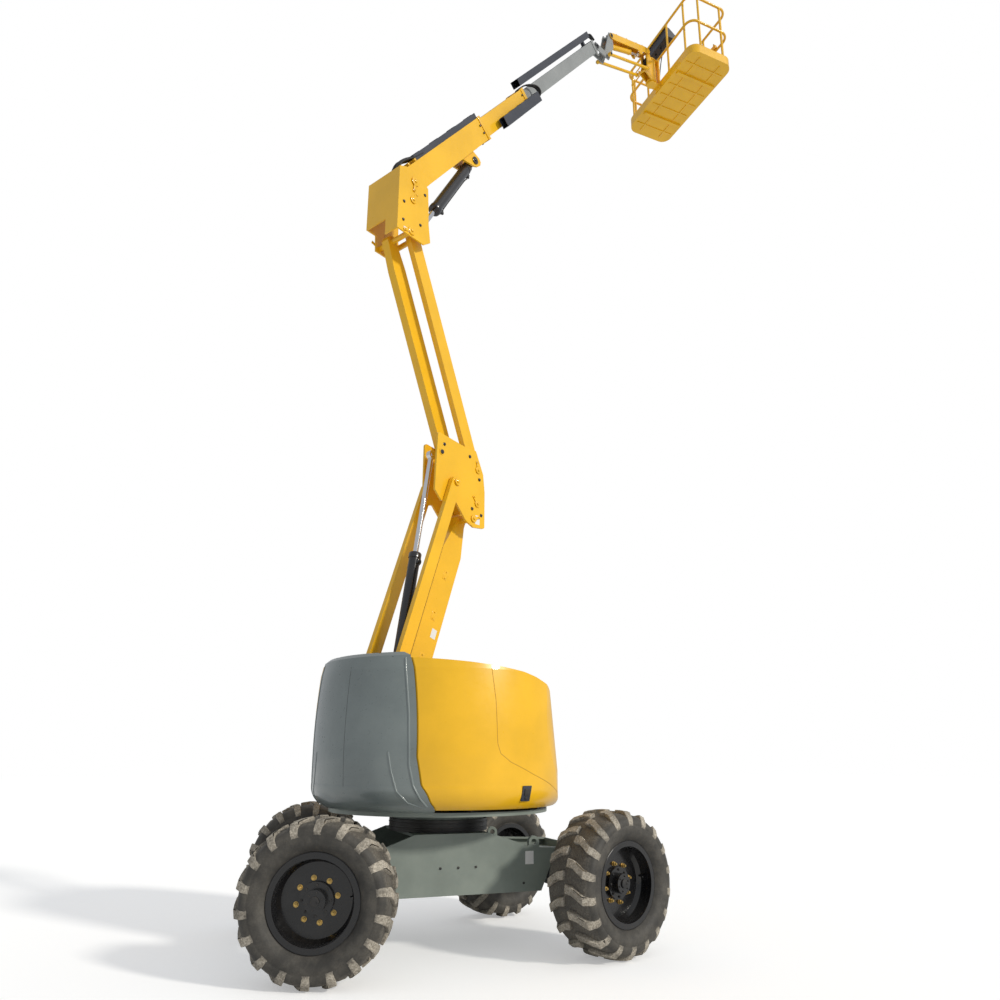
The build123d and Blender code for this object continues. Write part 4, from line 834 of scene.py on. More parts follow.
@dataclass
class Wheels:
    """Tyres with their tread, and what is bolted to the rims.

    Args:
        paint: material maker.
        axles: name, end of the machine and steering angle in degrees of each axle.
        wheelbase, kingpin_track, kingpin_offset, radius: as in the CAD model.
        lugs, lug_share: tread pattern as in the CAD model.
        lug_foot: width of a lug's foot against its top.
        lug_bevel: bevel of a lug's edges.
        tread_from: radius beyond which the carcass is dusty.
        disc_z, hub_z, cap_z, edge_z: outer faces of the rim, from the wheel's middle plane.
    """

    paint: PaintShop
    axles: tuple[tuple[str, int, float], ...] = (("front", 1, 20.3), ("rear", -1, -21.2))
    wheelbase: float = 1.942
    kingpin_track: float = 1.274
    kingpin_offset: float = 0.285
    radius: float = 0.510
    lugs: int = 18
    lug_share: float = 0.34
    lug_foot: float = 1.16
    lug_bevel: float = 0.004
    tread_from: float = 0.46
    disc_z: float = 0.054
    hub_z: float = 0.080
    cap_z: float = 0.128
    edge_z: float = 0.174

    def build(self) -> None:
        """All four wheels."""
        for end_name, end, steer in self.axles:
            for side_name, side in (("left", LEFT), ("right", RIGHT)):
                name = f"{end_name}_{side_name}"
                at = (moved(end * self.wheelbase / 2, side * self.kingpin_track / 2, self.radius)
                      @ Matrix.Rotation(math.radians(steer), 4, "Z")
                      @ moved(0, side * self.kingpin_offset, 0))
                if side > 0:
                    at = at @ Matrix.Rotation(math.pi, 4, "Z")
                outward = at @ ALONG_Y_NEG
                self.tyre(name, outward)
                self.rim(name, outward)

    def tyre(self, name: str, at: Matrix) -> None:
        """Carcass with ribbed sidewalls and one bevelled lug after another on each shoulder.

        Args:
            name: the wheel's name.
            at: the wheel's middle, with Z out along the axle.
        """
        form = Form()
        dust = form.bm.verts.layers.float.new("dust")
        profile = CARCASS + [(r, -z) for r, z in reversed(CARCASS)]
        form.turned(Matrix.Identity(4), profile, steps=96, closed=True)
        for v in form.bm.verts:
            v[dust] = TREAD_DUST if math.hypot(v.co.x, v.co.y) > self.tread_from else 0.0
        pitch = math.tau / self.lugs
        for side, shift in ((LEFT, 0.0), (RIGHT, pitch / 2)):
            for i in range(self.lugs):
                self.lug(form, dust, side, shift + i * pitch)
        bmesh.ops.transform(form.bm, matrix=at, verts=form.bm.verts)
        form.piece(f"tread_tyre_{name}", self.paint.rubber(), f"wheel_{name}", Slot.TYRE, sharp=32,
                   replaces=[f"tyre_{name}"])

    def lug(self, form: Form, dust: bmesh.types.BMLayerItem, side: int, middle: float) -> None:
        """One lug, its section extruded from the tread's middle over the shoulder.

        Args:
            form: takes the lug.
            dust: layer that says how dusty a vertex is.
            side: side of the tread.
            middle: where round the tyre it starts, in radians.
        """
        pitch = math.tau / self.lugs
        half = pitch * self.lug_share / 2

        def section(row: tuple[float, float, float, float, float]) -> list[Vector]:
            """Four corners of the lug.

            Args:
                row: a row of the table.

            Returns:
                The corners, in order.
            """
            z, low, high, sweep, width = row
            turn = middle + sweep * pitch
            spots = ((-half * self.lug_foot, low), (-half, high), (half, high), (half * self.lug_foot, low))
            return [Vector((r * math.cos(turn + a * width), r * math.sin(turn + a * width), side * z))
                    for a, r in spots]

        every = [form.bm.verts.new(p) for p in section(LUG_ROWS[0])]
        face = form.bm.faces.new(every)
        for n, row in enumerate(LUG_ROWS[1:]):
            pushed = bmesh.ops.extrude_face_region(form.bm, geom=[face], use_keep_orig=n == 0)
            face = [g for g in pushed["geom"] if isinstance(g, bmesh.types.BMFace)][0]
            old = [v.co.copy() for v in every[-4:]]
            ordered = [min(face.verts, key=lambda v: (v.co - place).length) for place in old]
            for v, place in zip(ordered, section(row)):
                v.co = place
            every += ordered
        for k, v in enumerate(every):
            v[dust] = LUG_TOP_DUST if k % 4 in (1, 2) else LUG_FOOT_DUST
        bmesh.ops.bevel(form.bm, geom=sharp_edges(every, LUG_CREASE), offset=self.lug_bevel, segments=1,
                        profile=0.5, affect="EDGES", material=-1, clamp_overlap=True)

    def rim(self, name: str, at: Matrix) -> None:
        """Nuts, hub bolts, cap, valve and the rolled edge of one rim.

        Args:
            name: the wheel's name.
            at: the wheel's middle, with Z out along the axle.
        """
        body = f"wheel_{name}"
        nuts = Form()
        for spot in ring_places(8, 0.135, 0.2):
            foot = at @ spot @ moved(0, 0, self.disc_z)
            nuts.drum(foot, 0.0185, 0.004, 20, FINE)
            nuts.head(foot, WHEEL_NUT)
            nuts.drum(foot, 0.0088, 0.033, 12, EDGE)
        nuts.piece(f"wheel_nuts_{name}", self.paint.gold(), body, Slot.RIM)
        hub = Form()
        for spot in ring_places(8, 0.093):
            hub.head(at @ spot @ moved(0, 0, self.hub_z), HUB_BOLT)
        for spot in ring_places(6, 0.052, 0.3):
            hub.head(at @ spot @ moved(0, 0, self.cap_z), CAP_BOLT)
        hub.drum(at @ moved(0, 0, self.cap_z), 0.030, 0.010, 24, SOFT)
        hub.head(at @ moved(0.024, 0.0, self.cap_z), DRAIN_PLUG)
        self.paint.dress(hub, f"hub_bolts_{name}", body, Slot.ENGINE)
        edge = Form()
        roll = 0.005
        bead = [(0.2965 + roll * math.cos(a), self.edge_z - 0.0052 + roll * math.sin(a))
                for a in (math.tau * k / 8 for k in range(8))]
        edge.turned(at, bead, steps=96, closed=True)
        well = [(0.2600, self.edge_z - 0.030), (0.2585, self.edge_z - 0.038), (0.2560, self.edge_z - 0.038),
                (0.2560, self.edge_z - 0.030)]
        edge.turned(at, well, steps=72, closed=True)
        edge.pipe(routed(at, VALVE_STEM), 0.0045, 3)
        self.paint.dress(edge, f"rim_edge_{name}", body, Slot.RIM)


# thickness and width of a pin's keeper plate
KEEPER_T, KEEPER_W = 0.006, 0.026


def pin_end(form: Form, pin: Spot, y: float, radius: float = 0.036, keeper: float | None = None,
            length: float = 0.008) -> None:
    """Cap of a pin with its bolt, seen on the side of y, and a keeper plate when an angle is given.

    Args:
        form: takes the pieces.
        pin: (x, z) in the turret's plane.
        y: where the pin ends; its sign is the side.
        radius: cap radius.
        keeper: angle in degrees of the keeper plate, or None.
        length: how far the cap stands out.
    """
    at = turret_matrix(pin[0], y, pin[1]) @ sideways(y)
    form.drum(at, radius, length, 32, 0.0025)
    form.drum(at @ moved(0, 0, length), radius * 0.42, 0.010, HEX, EDGE)
    if keeper is not None:
        arm = at @ Matrix.Rotation(math.radians(keeper), 4, "Z")
        form.block(arm @ moved(radius * 1.25, 0, KEEPER_T / 2), (radius * 2.6, KEEPER_W, KEEPER_T), EDGE)
        form.head(arm @ moved(radius * 2.15, 0, KEEPER_T), KEEPER_BOLT)


def plate_bolt(form: Form, spot: Spot, y: float, radius: float) -> None:
    """Hexagon head with its washer on a plate that faces right.

    Args:
        form: takes the pieces.
        spot: (x, z) in the turret's plane.
        y: the plate's face.
        radius: radius of the head.
    """
    at = turret_matrix(spot[0], y, spot[1]) @ ALONG_Y_NEG
    form.drum(at, radius * 1.25, 0.002, 20)
    form.drum(at, radius, 0.009, HEX, 0.0015)


@dataclass
class Arms:
    """Pins, keepers, bolts and plates of the riser arms and the boom head.

    Args:
        paint: material maker.
        knuckle_face, tie_face, head_face: outer faces from the middle plane.
        knuckle_bolts: from the lower arm's upper pin.
        head_bolts: from the upper arm's upper pin.
        clamps: places of the cover plates along the lower arm.
        clamp_half: from a cover plate's middle to its bolts.
    """

    paint: PaintShop
    knuckle_face: float = 0.145
    tie_face: float = 0.208
    head_face: float = 0.210
    knuckle_bolts: tuple[Spot, ...] = ((-0.400, 0.600), (-0.060, 0.585), (0.075, 0.395), (-0.020, 0.090),
                                       (0.105, 0.055))
    head_bolts: tuple[Spot, ...] = ((-0.105, 0.250), (-0.105, 0.060), (0.105, 0.120), (0.150, 0.470))
    clamps: tuple[float, ...] = (1.05, 1.45, 1.85)
    clamp_half: float = 0.03

    def build(self) -> None:
        """Every piece of the arms."""
        self.knuckle()
        self.head()
        self.lower()
        Cylinder(self.paint, "arm", ARM_FOOT, ARM_EYE, 0.048, 0.023, 1.640, y=-0.015).build()

    def knuckle(self) -> None:
        """Pin caps, bolts and a blank plate of the knuckle."""
        face = self.knuckle_face
        form = Form()
        for side in (RIGHT, LEFT):
            pin_end(form, LOWER_TOP, side * (face + 0.005), 0.034, 20.0)
            pin_end(form, UPPER_PIN, side * (face + 0.003), 0.034, 130.0)
            pin_end(form, TIE_TOP, side * self.tie_face, 0.033)
        pin_end(form, UPPER_TIE_PIN, -face - 0.003, 0.034, 100.0)
        self.paint.dress(form, "knuckle_pins", "knuckle", Slot.YELLOW)
        bolts = Form()
        for dx, dz in self.knuckle_bolts:
            plate_bolt(bolts, step(LOWER_TOP, dx, dz), -face, 0.013)
        bolts.drum(turret_matrix(ARM_EYE[0], -face - 0.004, ARM_EYE[1]) @ ALONG_Y_NEG, 0.020, 0.006, 24, FINE)
        self.paint.dress(bolts, "knuckle_bolts", "knuckle", Slot.BARREL)
        sign = Form()
        x, z = step(LOWER_TOP, 0.055, 0.000)
        sign.block(turret_matrix(x, -face - 0.0006, z), (0.060, 0.001, 0.085), 0.0)
        sign.piece("knuckle_plate", self.paint.white(), "knuckle", Slot.GREY)

    def head(self) -> None:
        """Pin caps, bolts and a blank plate of the boom head."""
        face = self.head_face
        form = Form()
        for side in (RIGHT, LEFT):
            pin_end(form, HEAD_PIN, side * (face + 0.003), 0.040, 200.0)
            pin_end(form, BOOM_PIN, side * (face + 0.006), 0.044, 265.0)
        pin_end(form, UPPER_TIE_TOP, -face - 0.003, 0.036, 60.0)
        self.paint.dress(form, "head_pins", "head", Slot.YELLOW)
        bolts = Form()
        for dx, dz in self.head_bolts:
            plate_bolt(bolts, step(HEAD_PIN, dx, dz), -face, 0.012)
        self.paint.dress(bolts, "head_bolts", "head", Slot.BARREL)
        sign = Form()
        x, z = step(HEAD_PIN, -0.060, -0.015)
        sign.block(turret_matrix(x, -face - 0.0007, z), (0.075, 0.0012, 0.030), 0.0)
        sign.piece("head_plate", self.paint.white(), "head", Slot.GREY)

    def lower(self) -> None:
        """Cover plates with their bolts and a blank plate of the lower arm."""
        face = turret_matrix(LOWER_PIN[0], 0, LOWER_PIN[1], LOWER_ANGLE)
        form = Form()
        for along in self.clamps:
            form.block(face @ moved(along, 0.0045, 0.0), (0.090, 0.003, 0.050), FINE)
            for dx in (-self.clamp_half, self.clamp_half):
                form.head(face @ moved(along + dx, 0.003, 0) @ ALONG_Y_NEG, CLAMP_BOLT)
        self.paint.dress(form, "lower_arm_clamps", "lower_arm", Slot.YELLOW)
        sign = Form()
        sign.block(face @ moved(1.30, 0.0043, -0.055), (0.085, 0.001, 0.060), 0.0)
        sign.piece("lower_arm_plate", self.paint.white(), "lower_arm", Slot.GREY)


@dataclass
class Cylinder:
    """Gland nut, end band, port blocks and a hard pipe along a barrel.

    Args:
        paint: material maker.
        name: the cylinder's name, whose barrel body it rides on.
        foot, eye: (x, z) of its pins in the turret's plane.
        radius: barrel radius.
        rod: rod radius.
        length: barrel length.
        y: its middle plane.
        roll: turn of the pipe about the barrel in degrees, from the barrel's right side.
        pipe_r: radius of the hard pipe.
    """

    paint: PaintShop
    name: str
    foot: Spot
    eye: Spot
    radius: float
    rod: float
    length: float
    y: float = 0.0
    roll: float = 0.0
    pipe_r: float = 0.006

    def build(self) -> None:
        """Both pieces of the cylinder."""
        at = turret_matrix(self.foot[0], self.y, self.foot[1], heading(self.foot, self.eye))
        at = at @ Matrix.Rotation(math.radians(self.roll), 4, "X")
        ports = (self.radius * 1.7 + 0.06, self.length - 0.085)
        self.gland(at, ports)
        self.pipe(at, *ports)

    def gland(self, at: Matrix, ports: tuple[float, float]) -> None:
        """Gland nut, end band and port blocks.

        Args:
            at: frame at the barrel's eye with X along it.
            ports: places of the two port blocks along it.
        """
        form = Form()
        along = at @ ALONG_X
        r, rod = self.radius, self.rod
        inside = r * 0.98
        form.turned(along @ moved(0, 0, self.length - 0.055), [
            (inside, 0.0), (r + 0.006, 0.004), (r + 0.006, 0.045), (r + 0.001, 0.054),
            (rod + 0.004, 0.056), (rod + 0.0025, 0.050)], steps=36)
        form.turned(along @ moved(0, 0, r * 1.7 + 0.02), [
            (inside, 0.0), (r + 0.004, 0.003), (r + 0.004, 0.025), (inside, 0.028)], steps=36)
        side = moved(0, -r, 0)
        for x in ports:
            form.block(at @ side @ moved(x, -0.006, 0), (0.040, 0.026, 0.034), SOFT)
            form.head(at @ side @ moved(x, -0.018, 0) @ ALONG_Y_NEG, PORT_NUT)
        self.paint.dress(form, f"{self.name}_cylinder_gland", f"{self.name}_barrel", Slot.BARREL)

    def pipe(self, at: Matrix, x0: float, x1: float) -> None:
        """Hard pipe between the ports.

        Args:
            at: frame at the barrel's eye with X along it.
            x0, x1: places of the ports along it.
        """
        line = Form()
        y = -self.radius - 0.012
        line.pipe(routed(at, (
            (x1, y - 0.018, 0), (x1 - 0.015, y - 0.030, 0.0), (x1 - 0.05, y, 0.006),
            (x1 - 0.10, y + 0.002, 0.010), ((x0 + x1) / 2, y + 0.002, 0.010), (x0 + 0.12, y + 0.002, 0.010),
            (x0 + 0.06, y, 0.006), (x0 + 0.03, y - 0.006, 0.0))), self.pipe_r, 4)
        self.paint.dress(line, f"{self.name}_cylinder_pipe", f"{self.name}_barrel", Slot.ENGINE)


@dataclass(frozen=True)
class Section:
    """A boom section.

    Args:
        end: where it ends, from the boom's pin.
        height, width: its outer size.
    """

    end: float
    height: float
    width: float


@dataclass
class Boom:
    """Bolts, end bands, tray seams and hoses of the telescopic boom.

    Args:
        paint: material maker.
        outer_size, middle_size, inner_size: the three sections.
        pad_y, pad_z: the wear pads' bolts from the section's middle.
        lug_y: the lug's outer faces from the middle.
        tray_z, side_tray_z: upper faces of the hose tray and the side tray.
        tray_seams, side_seams: seams along the two trays.
        hose_r: radius of the hoses at the middle section and the nose.
        root_r: radius of the hoses over the root.
    """

    paint: PaintShop
    outer_size: Section = Section(1.780, 0.237, 0.240)
    middle_size: Section = Section(3.030, 0.200, 0.204)
    inner_size: Section = Section(5.700, 0.160, 0.160)
    pad_y: float = 0.05
    pad_z: float = 0.04
    lug_y: float = 0.087
    tray_z: float = 0.1945
    side_tray_z: float = -0.0005
    tray_seams: tuple[float, ...] = (0.45, 0.85, 1.25, 1.65)
    side_seams: tuple[float, ...] = (2.16, 2.40, 2.64, 2.88, 3.10)
    hose_r: float = 0.0085
    root_r: float = 0.0105

    def build(self) -> None:
        """Every piece of the boom."""
        at = turret_matrix(BOOM_PIN[0], 0, BOOM_PIN[1], BOOM_ANGLE)
        self.outer(at)
        self.middle(at)
        self.inner(at)
        self.root_hoses(at)
        Cylinder(self.paint, "boom", BOOM_FOOT, BOOM_EYE, 0.056, 0.025, 1.010, roll=-90.0).build()

    def band(self, form: Form, at: Matrix, x0: float, x1: float, size: Section, t: float) -> None:
        """Stiffening band round a section.

        Args:
            form: takes the band.
            at: the boom's frame.
            x0, x1: where the band starts and ends.
            size: the section.
            t: thickness of the band.
        """
        middle, length = (x0 + x1) / 2, x1 - x0
        for side in (LEFT, RIGHT):
            form.block(at @ moved(middle, side * (size.width + t) / 2, BOOM_RISE),
                       (length, t, size.height + 2 * t), t * 0.3)
            form.block(at @ moved(middle, 0, BOOM_RISE + side * (size.height + t) / 2),
                       (length, size.width, t), t * 0.3)

    def pad_bolts(self, form: Form, at: Matrix, x: float, size: Section) -> None:
        """Adjusting bolts of the wear pads at a section's end.

        Args:
            form: takes the bolts.
            at: the boom's frame.
            x: place of the bolts along it.
            size: the section.
        """
        up = size.height / 2
        for y in (-self.pad_y, self.pad_y):
            form.head(at @ moved(x, y, BOOM_RISE + up), PAD_TOP_BOLT)
            form.head(at @ moved(x, y, BOOM_RISE - up) @ Matrix.Rotation(math.pi, 4, "X"), PAD_LOW_BOLT)
        for z in (-self.pad_z, self.pad_z):
            for side in (RIGHT, LEFT):
                form.head(at @ moved(x, side * size.width / 2, BOOM_RISE + z) @ sideways(side),
                          PAD_SIDE_BOLT)

    def outer(self, at: Matrix) -> None:
        """End band, pad bolts, lug pin caps and tray seams of the outer section.

        Args:
            at: the boom's frame.
        """
        size = self.outer_size
        form = Form()
        self.band(form, at, size.end - 0.045, size.end, size, 0.010)
        self.paint.dress(form, "boom_outer_band", "boom", Slot.YELLOW)
        bolts = Form()
        self.pad_bolts(bolts, at, size.end - 0.075, size)
        for side in (RIGHT, LEFT):
            foot = at @ moved(BOOM_LUG[0], side * self.lug_y, BOOM_LUG[1]) @ sideways(side)
            bolts.drum(foot, 0.040, 0.007, 32, EDGE)
            bolts.head(foot, LUG_BOLT)
        for x in self.tray_seams:
            bolts.block(at @ moved(x, -0.060, self.tray_z), (0.030, 0.100, 0.004), FINE)
        self.paint.dress(bolts, "boom_outer_bolts", "boom", Slot.BARREL)

    def middle(self, at: Matrix) -> None:
        """Pad bolts, tray seams and the hose loop of the middle section.

        Args:
            at: the boom's frame.
        """
        bolts = Form()
        self.pad_bolts(bolts, at, self.middle_size.end - 0.085, self.middle_size)
        for x in self.side_seams:
            bolts.block(at @ moved(x, -0.170, self.side_tray_z), (0.030, 0.066, 0.003), FINE)
        self.paint.dress(bolts, "boom_middle_bolts", "boom_middle", Slot.BARREL)
        hoses = Form()
        for k in range(3):
            y = -0.155 - 0.018 * k
            hoses.pipe(routed(at, (
                (3.10, y, -0.06), (3.20, y, -0.06), (3.27, y, -0.02), (3.28, y + 0.02, 0.05),
                (3.20, y + 0.05, 0.10), (3.11, -0.115, 0.128), (3.04, -0.090 + 0.018 * k, 0.132),
                (2.965, -0.080 + 0.018 * k, 0.1265))), self.hose_r, 4)
        hoses.piece("boom_middle_hoses", self.paint.hose(), "boom_middle", Slot.PLASTIC)

    def inner(self, at: Matrix) -> None:
        """End band, nose pin caps and hoses at the nose.

        Args:
            at: the boom's frame.
        """
        size = self.inner_size
        form = Form()
        self.band(form, at, size.end - 0.060, size.end - 0.002, size, 0.008)
        self.paint.dress(form, "boom_inner_band", "boom_inner", Slot.BOOM_GREY)
        caps = Form()
        for side in (RIGHT, LEFT):
            pin_end(caps, NOSE, side * 0.061, 0.034, 200.0, 0.006)
            pin_end(caps, JIB_ROOT, side * 0.076, 0.032, None, 0.005)
            pin_end(caps, JIB_LOW_ROOT, side * 0.124, 0.022, None, 0.005)
        self.paint.dress(caps, "nose_pin_caps", "nose", Slot.BARREL)
        hoses = Form()
        for k in range(4):
            y = 0.030 + 0.019 * k
            hoses.pipe(routed(at, (
                (5.80, y, 0.19), (5.95, y, 0.195), (6.03, y * 0.8, 0.16), (6.03, y * 0.5, 0.08))),
                self.hose_r, 4)
        hoses.piece("nose_hoses", self.paint.hose(), "boom_inner", Slot.PLASTIC)

    def root_hoses(self, at: Matrix) -> None:
        """Black hoses that loop over the boom's root into the hose tray.

        Args:
            at: the boom's frame.
        """
        hoses = Form()
        for k in range(5):
            y = -0.100 + 0.021 * k
            rise = 0.010 * (k % 2)
            hoses.pipe(routed(at, (
                (0.52, y, 0.160), (0.36, y, 0.168 + rise), (0.24, y, 0.195 + rise), (0.10, y, 0.200 + rise),
                (-0.020, y, 0.140 + rise), (-0.085, y, 0.070), (-0.095, y, 0.010), (-0.065, y, -0.030))),
                self.root_r, 4)
        hoses.piece("root_hoses", self.paint.hose(), "boom", Slot.PLASTIC)
        clamp = Form()
        for x in (0.20, 0.33):
            clamp.block(at @ moved(x, -0.058, 0.150), (0.022, 0.120, 0.026), SOFT)
        self.paint.dress(clamp, "root_hose_clamps", "boom", Slot.YELLOW)


@dataclass
class Jib:
    """Pin caps, hoses and the drive of the jib.

    Args:
        paint: material maker.
        length: between its upper pins.
        half: half its width.
        hose_r: radius of its hoses.
        barrel: from the jib cylinder's foot to its gland nut.
        straps: places of the hose straps along it.
        flange_z: heights of the turning drive's flanges from the jib's outer upper pin.
    """

    paint: PaintShop
    length: float = JIB_LENGTH
    half: float = 0.072
    barrel: float = 0.700
    hose_r: float = 0.0080
    straps: tuple[float, ...] = (0.25, 0.60, 0.95, 1.18)
    flange_z: tuple[float, ...] = (-0.470, -0.060)

    def build(self) -> None:
        """Every piece of the jib."""
        at = turret_matrix(JIB_ROOT[0], 0, JIB_ROOT[1], JIB_ANGLE)
        self.hoses(at)
        self.drive()
        self.cylinder()

    def hoses(self, at: Matrix) -> None:
        """Hoses along the jib with their straps, and the rings at its pins.

        Args:
            at: the jib's frame.
        """
        hoses = Form()
        for k in range(4):
            y = -0.045 + 0.024 * k
            hoses.pipe(routed(at, (
                (0.06, y, 0.060), (0.20, y, 0.066), (0.60, y * 0.8, 0.062), (1.00, y * 0.8, 0.062),
                (1.22, y, 0.066), (1.29, y, 0.058))), self.hose_r, 4)
        hoses.piece("jib_hoses", self.paint.hose(), "jib_arm", Slot.PLASTIC)
        straps = Form()
        for x in self.straps:
            straps.block(at @ moved(x, 0, 0.0625), (0.018, 0.120, 0.024), SOFT)
        for x in (0.0, self.length):
            for side in (RIGHT, LEFT):
                straps.turned(at @ moved(x, side * self.half, 0.0) @ sideways(side), [
                    (0.036, 0.0), (0.036, 0.003), (0.027, 0.003), (0.027, 0.0)], steps=28, closed=True)
        self.paint.dress(straps, "jib_straps", "jib_arm", Slot.YELLOW)

    def drive(self) -> None:
        """Valve block, flanges and bolts of the basket's turning drive."""
        x, z = BASKET_AXIS
        at = turret_matrix(x, 0, z)
        form = Form()
        for height in self.flange_z:
            form.turned(at @ moved(0, 0, height), [
                (0.0795, 0.0), (0.090, 0.003), (0.090, 0.017), (0.0795, 0.020)], steps=40)
        for spot in ring_places(10, 0.0865):
            form.head(at @ spot @ moved(0, 0, -0.043), FLANGE_BOLT)
        self.paint.dress(form, "turning_drive_flanges", "jib_end", Slot.YELLOW)
        valves = Form()
        base = at @ moved(-0.130, 0.0, -0.160)
        valves.block(base, (0.080, 0.075, 0.100), 0.004)
        for k in range(3):
            valves.drum(base @ moved(-0.020 + 0.022 * k, 0, 0.050), 0.009, 0.030, 12, EDGE)
        self.paint.dress(valves, "turning_drive_valves", "jib_end", Slot.ENGINE)

    def cylinder(self) -> None:
        """Gland nut of the jib cylinder."""
        angle = heading(JIB_FOOT, JIB_EYE)
        gland = Form()
        gland.turned(turret_matrix(JIB_FOOT[0], 0, JIB_FOOT[1], angle) @ ALONG_X @ moved(0, 0, self.barrel), [
            (0.0352, 0.0), (0.040, 0.003), (0.040, 0.034), (0.036, 0.040), (0.024, 0.042),
            (0.0225, 0.038)], steps=32)
        self.paint.dress(gland, "jib_cylinder_gland", "jib_barrel", Slot.YELLOW)


# azimuth in degrees round the slewing axis on the right side, height in metres
HOOD_CREASE = [(-114.4, 2.035), (-112.9, 1.80), (-112.3, 1.495), (-110.9, 1.425), (-106.0, 1.365),
               (-93.5, 1.278), (-82.0, 1.212), (-72.0, 1.140)]
LATCH_AT = (-97.5, 1.144)
WEIGHT_SEAM = [(-179.2, 2.05), (-179.2, 1.80), (-179.2, 1.45), (-178.8, 1.14)]
WEIGHT_RIDGE = [(-151.9, 2.100), (-150.3, 1.90), (-148.9, 1.694), (-148.4, 1.50), (-148.1, 1.338),
                (-146.3, 1.20), (-143.4, 1.11), (-141.0, 1.060)]
WEIGHT_SWOOSH = [(-157.0, 1.431), (-155.6, 1.302), (-153.1, 1.164), (-148.7, 1.085), (-141.7, 1.045)]


def finer(rows: Sequence[Spot], count: int) -> list[Spot]:
    """Closer rows, so that a line keeps to a round cover.

    Args:
        rows: azimuth and height of each row.
        count: steps between each two.

    Returns:
        The rows with those between them.
    """
    made = []
    for (a0, z0), (a1, z1) in zip(rows, rows[1:]):
        made += [(a0 + (a1 - a0) * k / count, z0 + (z1 - z0) * k / count) for k in range(count)]
    return [*made, rows[-1]]


@dataclass(frozen=True)
class Moulding:
    """A fine moulded line that follows a cover.

    Args:
        node: CAD node it lies on.
        body: body it rides on.
        slot: record slot.
        radius: radius of the line's section.
        sunk: share of the radius that lies below the surface.
        rows: azimuth in degrees on the right side and height in metres.
    """

    node: str
    body: str
    slot: Slot
    radius: float
    sunk: float
    rows: Sequence[Spot]


@dataclass
class Covers:
    """Creases, seams, latches and bolts of the turret's covers.

    Args:
        paint: material maker.
        crease_r, ridge_r, swoosh_r, seam_r: radii of the moulded lines.
        line_step: steps between two rows of a line.
        clear: radius round the slewing axis, outside all covers.
        bolt_at: place of the counterweight's bolts on its top.
    """

    paint: PaintShop
    crease_r: float = 0.0036
    ridge_r: float = 0.010
    swoosh_r: float = 0.008
    seam_r: float = 0.0028
    line_step: int = 7
    clear: float = 1.6
    bolt_at: Point = (-0.88, 0.36, 2.108)

    def build(self) -> None:
        """Every piece of the covers."""
        grey = self.paint.of(Slot.GREY)
        for side_name, side in (("right", RIGHT), ("left", LEFT)):
            # each crease is a half-sunk line in darker yellow: painted shade in the groove
            crease = Moulding(f"hood_{side_name}", f"{side_name}_hood", Slot.YELLOW, self.crease_r, 0.5,
                              HOOD_CREASE)
            self.line(f"hood_crease_{side_name}", crease, self.paint.shade(), side)
        for side_name, side in (("right", RIGHT), ("left", LEFT)):
            for name, radius, rows in (("ridge", self.ridge_r, WEIGHT_RIDGE),
                                       ("swoosh", self.swoosh_r, WEIGHT_SWOOSH)):
                cast = Moulding("counterweight", "turret", Slot.GREY, radius, 0.45, rows)
                self.line(f"weight_{name}_{side_name}", cast, grey, side)
            self.latch(side_name, side)
        # the seam is a half-sunk line in darker grey: painted shade in the groove
        seam = Moulding("counterweight", "turret", Slot.GREY, self.seam_r, 0.6, WEIGHT_SEAM)
        self.line("weight_seam", seam, self.paint.dark(), RIGHT)
        self.bolts()

    def on_cover(self, node: str, side: int, azimuth: float, z: float) -> tuple[Vector, Vector]:
        """Point on a cover.

        Args:
            node: the cover's CAD node.
            side: RIGHT or LEFT.
            azimuth: degrees round the slewing axis on the right side.
            z: height.

        Returns:
            The place and the cover's normal there.
        """
        a = math.radians(azimuth)
        start = turret_at(self.clear * math.cos(a), -side * self.clear * math.sin(a), z)
        return surface(node, start, Vector((0, 0, z)) - start)

    def line(self, name: str, mould: Moulding, material: bpy.types.Material, side: int) -> None:
        """One moulded line.

        Args:
            name: piece name.
            mould: where it runs.
            material: its material.
            side: RIGHT or LEFT.
        """
        places = []
        for azimuth, z in finer(mould.rows, self.line_step):
            place, normal = self.on_cover(mould.node, side, azimuth, z)
            places.append(place - normal * mould.radius * mould.sunk)
        Form().pipe(places, mould.radius, 4).piece(name, material, mould.body, mould.slot)

    def latch(self, side_name: str, side: int) -> None:
        """Recessed latch with its handle low on a hood.

        Args:
            side_name: the hood's side.
            side: RIGHT or LEFT.
        """
        at = facing(*self.on_cover(f"hood_{side_name}", side, *LATCH_AT))
        base = Form()
        base.block(at, (0.088, 0.112, 0.010), 0.004)
        self.paint.dress(base, f"latch_plate_{side_name}", f"{side_name}_hood", Slot.PLASTIC)
        grip = Form()
        grip.block(at @ moved(0, 0.012, 0.008), (0.052, 0.050, 0.009), SOFT)
        grip.drum(at @ moved(0, -0.032, 0.004), 0.012, 0.007, 20, EDGE)
        self.paint.dress(grip, f"latch_grip_{side_name}", f"{side_name}_hood", Slot.ENGINE)

    def bolts(self) -> None:
        """Bolts with their washers on the counterweight's top."""
        eyes = Form()
        x, y, z = self.bolt_at
        for side in (RIGHT, LEFT):
            at = Matrix.Rotation(SLEW, 4, "Z") @ moved(x, side * y, z)
            eyes.drum(at, 0.034, 0.006, 28, EDGE)
            eyes.head(at @ moved(0, 0, 0.006), WEIGHT_BOLT)
        self.paint.dress(eyes, "weight_bolts", "turret", Slot.ENGINE)


